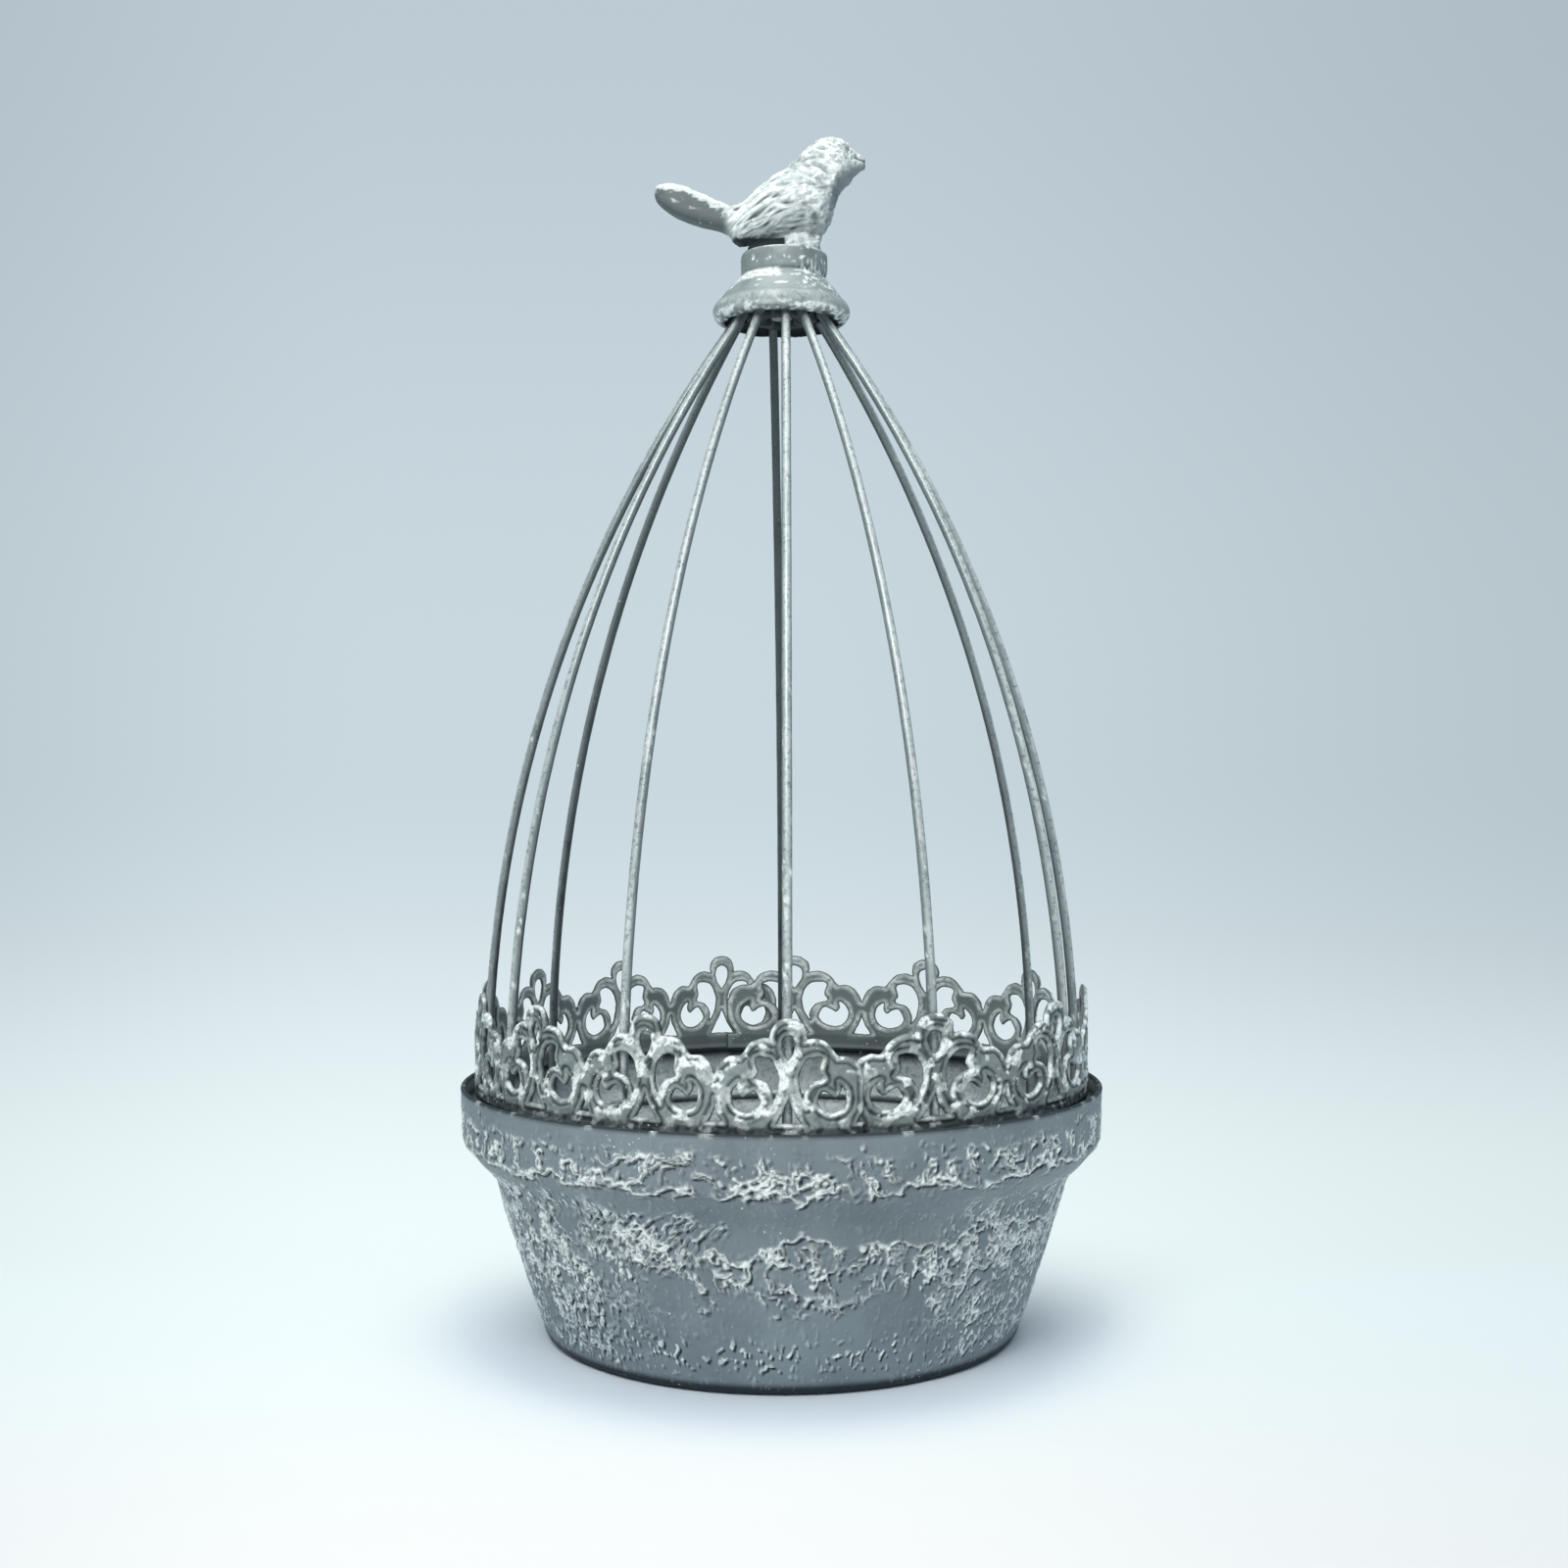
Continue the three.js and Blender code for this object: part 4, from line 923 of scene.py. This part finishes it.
def feather_relief(points, normals, seat):
    """Height in millimetres, wash with painted highlight and grime with painted shade, of the bird's
    feathers.
    """
    x, y, z = points[:, 0], np.abs(points[:, 1]), points[:, 2] - seat - FEATHER_FOOT
    # Long blades far along the wing, tufts elsewhere, fine dots on the head
    ahead = (WING_TIP - WING_ROOT) / np.linalg.norm(WING_TIP - WING_ROOT)
    u = (x - WING_ROOT[0]) * ahead[0] + (z - WING_ROOT[1]) * ahead[1]
    v = (x - WING_ROOT[0]) * ahead[1] - (z - WING_ROOT[1]) * ahead[0]
    v = v + 0.012 * (u - 14) ** 2
    flow = np.stack([u, v, y], 1)
    bend = flow + 0.6 * noise_vectors(flow / [9, 4, 4], 420)
    blades = 1 - np.abs(noise(bend / [8, 1.6, 2.6], 400)) * 2.2
    blades = np.clip(blades, -0.4, 1) * (0.7 + 0.5 * noise(bend / [4.5, 1.8, 3], 401))
    tufts = noise(bend / [3.4, 2.3, 2.8], 402) + 0.5 * noise(bend / [1.5, 0.9, 1.1], 403)
    far = step(9, 17, u) * step(1, 3.5, y)
    small = noise(points / 1.3, 404) + 0.6 * noise(points / 0.65, 405)
    head = step(16.5, 20, x + 0.5 * (z - 28)) * step(24, 29, z)
    body = far * (0.75 * blades - 0.2) + (1 - far) * 0.7 * tufts
    body = (1 - head) * body + head * 0.34 * small
    # Ribs on the tail, a smoother throat and the split of the beak
    tail = drop(-21, -17, x)
    above = step(0.3, 0.7, normals[:, 2])
    ribs = np.cos(2 * math.pi * (y / 1.5 + 0.15 * noise(points / 6, 406)))
    on_top = 0.2 * ribs + 0.25 * noise(points / [3, 1.1, 1.1], 407)
    tail_height = above * on_top + (1 - above) * 0.1 * noise(points / 3.5, 408)
    beak = step(24.6, 25.6, x)
    throat = step(0.35, 0.75, normals @ [0.8, 0, -0.6] + 0.25 * noise(points / 2.5, 414))
    throat *= step(15, 18, x) * step(10, 15, z)
    split = contour(z, MOUTH_HEIGHT + 0.2 * (29 - x), 0.3) * step(24.4, 25.8, x)
    height = (1 - tail) * body + tail * tail_height
    height = (1 - beak) * (1 - 0.45 * throat) * height - 0.4 * split
    # Eyes in their sockets
    eye = np.hypot(x - EYE_X, z - EYE_HEIGHT)
    eye_side = step(2, 3, y)
    height *= 1 - eye_side * drop(1.2, 2, eye)
    dome = 0.5 * np.sqrt(clamp(1 - (eye / 1.1) ** 2))
    socket = contour(eye, 1.4, 0.28)
    height += eye_side * (dome - 0.3 * socket)

    # White on ridges, more on those facing the light as painted highlight; painted shade in hollows, in the
    # beak's split, under the belly and tail, on the tail's sides, on the throat and behind the legs; dark
    # speckles on the face, eyes and beak tip
    lit = np.maximum(normals @ [-0.3, -0.5, 0.81], normals @ [-0.3, 0.5, 0.81])
    ridge = (1 - tail) * step(-0.1, 0.3, body) + tail * above * step(-0.35, 0.1, on_top)
    patch = step(-0.55, 0.2, noise(points / 5, 410))
    wash_and_light = (0.34 + 0.66 * ridge) * (0.35 + 0.65 * step(-0.3, 0.5, lit)) * (0.6 + 0.4 * patch)
    torn = normals[:, 2] + 0.35 * noise(points / [2.4, 1.2, 1.2], 411)
    wash_and_light *= (1 - 0.9 * tail * drop(0.12, 0.3, torn)) * (1 - 0.75 * throat)
    hollow = drop(-0.45, -0.1, body) * (1 - tail) * (1 - beak) * (0.4 + 0.4 * far)
    face = head * step(12, 17, x) * drop(0.55, 0.85, normals[:, 2])
    speckle = face * step(0.05, 0.35, noise(points / [1, 1, 0.8], 412) + 0.3 * noise(points / 2.5, 413))
    round_eye = eye_side * np.maximum(drop(0.8, 1.1, eye), socket)
    back_of_leg = drop(1.8, 2.8, z) * drop(0.6, 2, x) * drop(4.2, 5.2, y)
    beak_tip = step(28.2, 28.9, x)
    belly = drop(0.4, 2.4, z) * drop(-1, 2, x) * drop(-0.5, 0.2, normals[:, 2]) * (1 - tail)
    under_tail = tail * drop(0.15, 0.35, torn)
    grime_and_shade = np.max([hollow, split, 0.55 * speckle, 0.6 * round_eye, back_of_leg, 0.7 * beak_tip, 0.7 * belly,
                    0.7 * under_tail, 0.3 * throat], 0)
    wash_and_light = clamp(1.5 * wash_and_light) * (1 - clamp(grime_and_shade * 1.3))
    return height, wash_and_light, grime_and_shade


def make_bird():
    low, high = node_box("bird")
    seat = low[2]
    ends = [[seat - 3], [seat + DRILL_DEPTH]]
    drill = (round_points(BORE_RADIUS, angles(DRILL_SIDES), ends), capped(2, DRILL_SIDES))
    points, normals, faces = cast_together(bird_shell(seat), perch_shell(seat), drill)
    height, wash_and_light, grime_and_shade = feather_relief(points, normals, seat)
    bore = (np.hypot(points[:, 0], points[:, 1]) < PLAIN_RADIUS) & (points[:, 2] < seat + PLAIN_HEIGHT)
    free = step(seat + 0.3, seat + 1.5, points[:, 2])
    points = points + normals * np.where(bore, 0, height * free)[:, None]
    points[:, 2] = points[:, 2].clip(seat, high[2] - 0.02)
    points[:, 0] = points[:, 0].clip(low[0], high[0])
    build("bird_cast", "bird", points, faces, BIRD_PAINT, (wash_and_light, grime_and_shade))


make_tub()
make_wires()
make_lace()
make_cap()
make_hub()
make_finial()
make_bird()


# Stage, in metres: a paper sweep, two lamps and the camera

CAMERA_PLACE, CAMERA_LENS = (0.00085, -0.6642, 0.187), 43.875
FLOOR_FRONT, FLOOR_BACK, SWEEP_BEND, SWEEP_TOP, SWEEP_SIDE = -7.0, 1.3, 0.9, 3.0, 8.0
SWEEP_SPACING, SINK = 0.02, 0.0002
WALL_TONE, HORIZON_TONE = linear(188, 203, 211), linear(201, 215, 223)
FLOOR_TONE, NEAR_TONE, SIDE_TONE = linear(240, 253, 254), linear(250, 254, 253), linear(148, 163, 171)
PAPER, NEAR_PAPER = linear(236, 245, 244), linear(232, 231, 230)
SIDE_PAPER, SHADOW_PAPER = linear(201, 222, 235), linear(227, 237, 246)
SKY_LIGHT, SKY_POWER, SKY_FOOT = (0.76, 0.96, 1.16, 1.0), 0.33, linear(249, 254, 253)


def sweep_mesh():
    """The sweep, with how far each point falls below the camera's level as seen from it."""
    bend = arc((FLOOR_BACK, SWEEP_BEND), SWEEP_BEND, -90, 0, 60)
    line = np.vstack([[(FLOOR_FRONT, 0)], bend, [(FLOOR_BACK + SWEEP_BEND, SWEEP_TOP)]])
    line = even(line, SWEEP_SPACING)
    points = [(x, y, z - SINK) for x in (-SWEEP_SIDE, SWEEP_SIDE) for y, z in line.tolist()]
    count = len(line)
    faces = [(i, count + i, count + i + 1, i + 1) for i in range(count - 1)]
    along, height = line.T
    fall = np.clip((CAMERA_PLACE[2] - height) / np.maximum(along - CAMERA_PLACE[1], 0.05), -0.5, 0.5)
    mesh = new_mesh("backdrop", points, faces)
    mark_points(mesh, "fall", np.tile(fall, 2))
    mesh.shade_smooth()
    return mesh


def make_stage():
    """Pale paper underfoot, shading into a grey-blue wall and darker at both sides, tinted blue near the foot
    as a painted shadow.
    Far from the object, behind it and by half from 13 cm out, the camera sees the paper's tone without its
    shading, which paints light over the outer part of the object's shadow; the sweep's ends fade into the
    sky."""
    look = Look("backdrop_paper")
    fall = look.value("fall")
    axes = look.add("ShaderNodeSeparateXYZ", Vector=look.place).outputs
    ahead = look.math("MAXIMUM", look.math("SUBTRACT", axes["Y"], CAMERA_PLACE[1]), 0.3)
    swing = look.math("DIVIDE", axes["X"], ahead)
    right, left = look.between(swing, -0.05, 0.5, 0, 0.4), look.between(swing, -0.5, -0.2, 0.3, 0)
    aside = look.math("ADD", right, left)
    for limit in (look.between(look.math("ABSOLUTE", swing, 0), 0.5, 1.1, 1, 0),
                  look.between(axes["Y"], -0.9, -0.65), look.between(fall, 0.05, 0.2, 1, 0.6)):
        aside = look.math("MULTIPLY", aside, limit)
    tone = look.mix(look.between(fall, -0.45, -0.05), WALL_TONE, HORIZON_TONE)
    tone = look.mix(look.between(fall, -0.01, 0.25), tone, FLOOR_TONE)
    tone = look.mix(look.between(fall, 0.28, 0.4), tone, NEAR_TONE)
    tone = look.mix(aside, tone, SIDE_TONE)
    reach = look.add("ShaderNodeVectorMath", {"operation": "LENGTH"}, {0: look.place}).outputs["Value"]
    paper = look.mix(look.between(fall, 0.25, 0.42), PAPER, NEAR_PAPER)
    paper = look.mix(aside, paper, SIDE_PAPER)
    # Painted shadow: the paper turns blue within 10 to 15 cm of the middle
    paper = look.mix(look.between(reach, 0.1, 0.15, 1, 0), paper, SHADOW_PAPER)
    look.set("Base Color", paper)
    look.set("Roughness", 0.9)
    look.set("Specular IOR Level", 0)
    seen = look.add("ShaderNodeLightPath").outputs["Is Camera Ray"]
    # Share of the camera-only glow: painted light over the object's shadow behind it and, by half, beyond 13
    # cm
    far = look.math("MAXIMUM", look.between(reach, 0.7, 1.5), look.between(reach, 0.1, 0.13, 0, 0.5))
    far = look.math("MAXIMUM", far, look.between(fall, 0.225, 0.3, 1, 0))
    glow = look.add("ShaderNodeEmission", Color=tone, Strength=1).outputs["Emission"]
    sheet = look.blend(look.math("MULTIPLY", seen, far), look.surface.outputs["BSDF"], glow)
    ends = look.between(look.math("ABSOLUTE", axes["X"], 0), 2, 7)
    ends = look.math("MAXIMUM", ends, look.between(axes["Y"], -6, -2, 1, 0))
    clear = look.add("ShaderNodeBsdfTransparent").outputs["BSDF"]
    sheet = look.blend(look.math("MULTIPLY", seen, ends), sheet, clear)
    look.put(look.tree.nodes["Material Output"].inputs["Surface"], sheet)
    mesh = sweep_mesh()
    mesh.materials.append(look.material)
    new_object("backdrop", mesh)


def add_area(name, place, target, size, power, colour):
    lamp = bpy.data.lights.new(name, "AREA")
    lamp.shape, lamp.size, lamp.energy, lamp.color = "SQUARE", size, power, colour
    holder = new_object(name, lamp)
    holder.location = place
    holder.rotation_euler = (Vector(target) - Vector(place)).to_track_quat("-Z", "Y").to_euler()


def make_light():
    """A blue sky light that the camera sees as the sweep's own tones, and two warmer lamps."""
    world = bpy.data.worlds.new("studio")
    bpy.context.scene.world = world
    world.use_nodes = True
    sky = Nodes(world.node_tree, "Generated")
    light = sky.tree.nodes["Background"]
    sky.put(light.inputs["Color"], SKY_LIGHT)
    sky.put(light.inputs["Strength"], SKY_POWER)
    rise = sky.add("ShaderNodeSeparateXYZ", Vector=sky.place).outputs["Z"]
    tone = sky.mix(sky.between(rise, -0.03, 0.12), SKY_FOOT, WALL_TONE)
    shown = sky.add("ShaderNodeBackground", Color=tone).outputs["Background"]
    seen = sky.add("ShaderNodeLightPath").outputs["Is Camera Ray"]
    both = sky.blend(seen, light.outputs["Background"], shown)
    sky.put(sky.tree.nodes["World Output"].inputs["Surface"], both)
    add_area("key", (-0.22, -1.1, 1.1), (0, 0, 0.2), size=0.8, power=16, colour=(1, 0.97, 0.92))
    add_area("top", (0, -0.1, 1.6), (0, 0, 0.1), size=1, power=11.4, colour=(1, 0.98, 0.94))


def make_camera():
    lens = bpy.data.cameras.new("camera")
    lens.lens, lens.sensor_width = CAMERA_LENS, 36
    lens.clip_start, lens.clip_end = 0.01, 20
    camera = new_object("camera", lens)
    camera.location = CAMERA_PLACE
    camera.rotation_euler = (math.pi / 2, 0, 0)
    bpy.context.scene.camera = camera


make_stage()
make_light()
make_camera()
bpy.context.scene.view_settings.view_transform = "Standard"
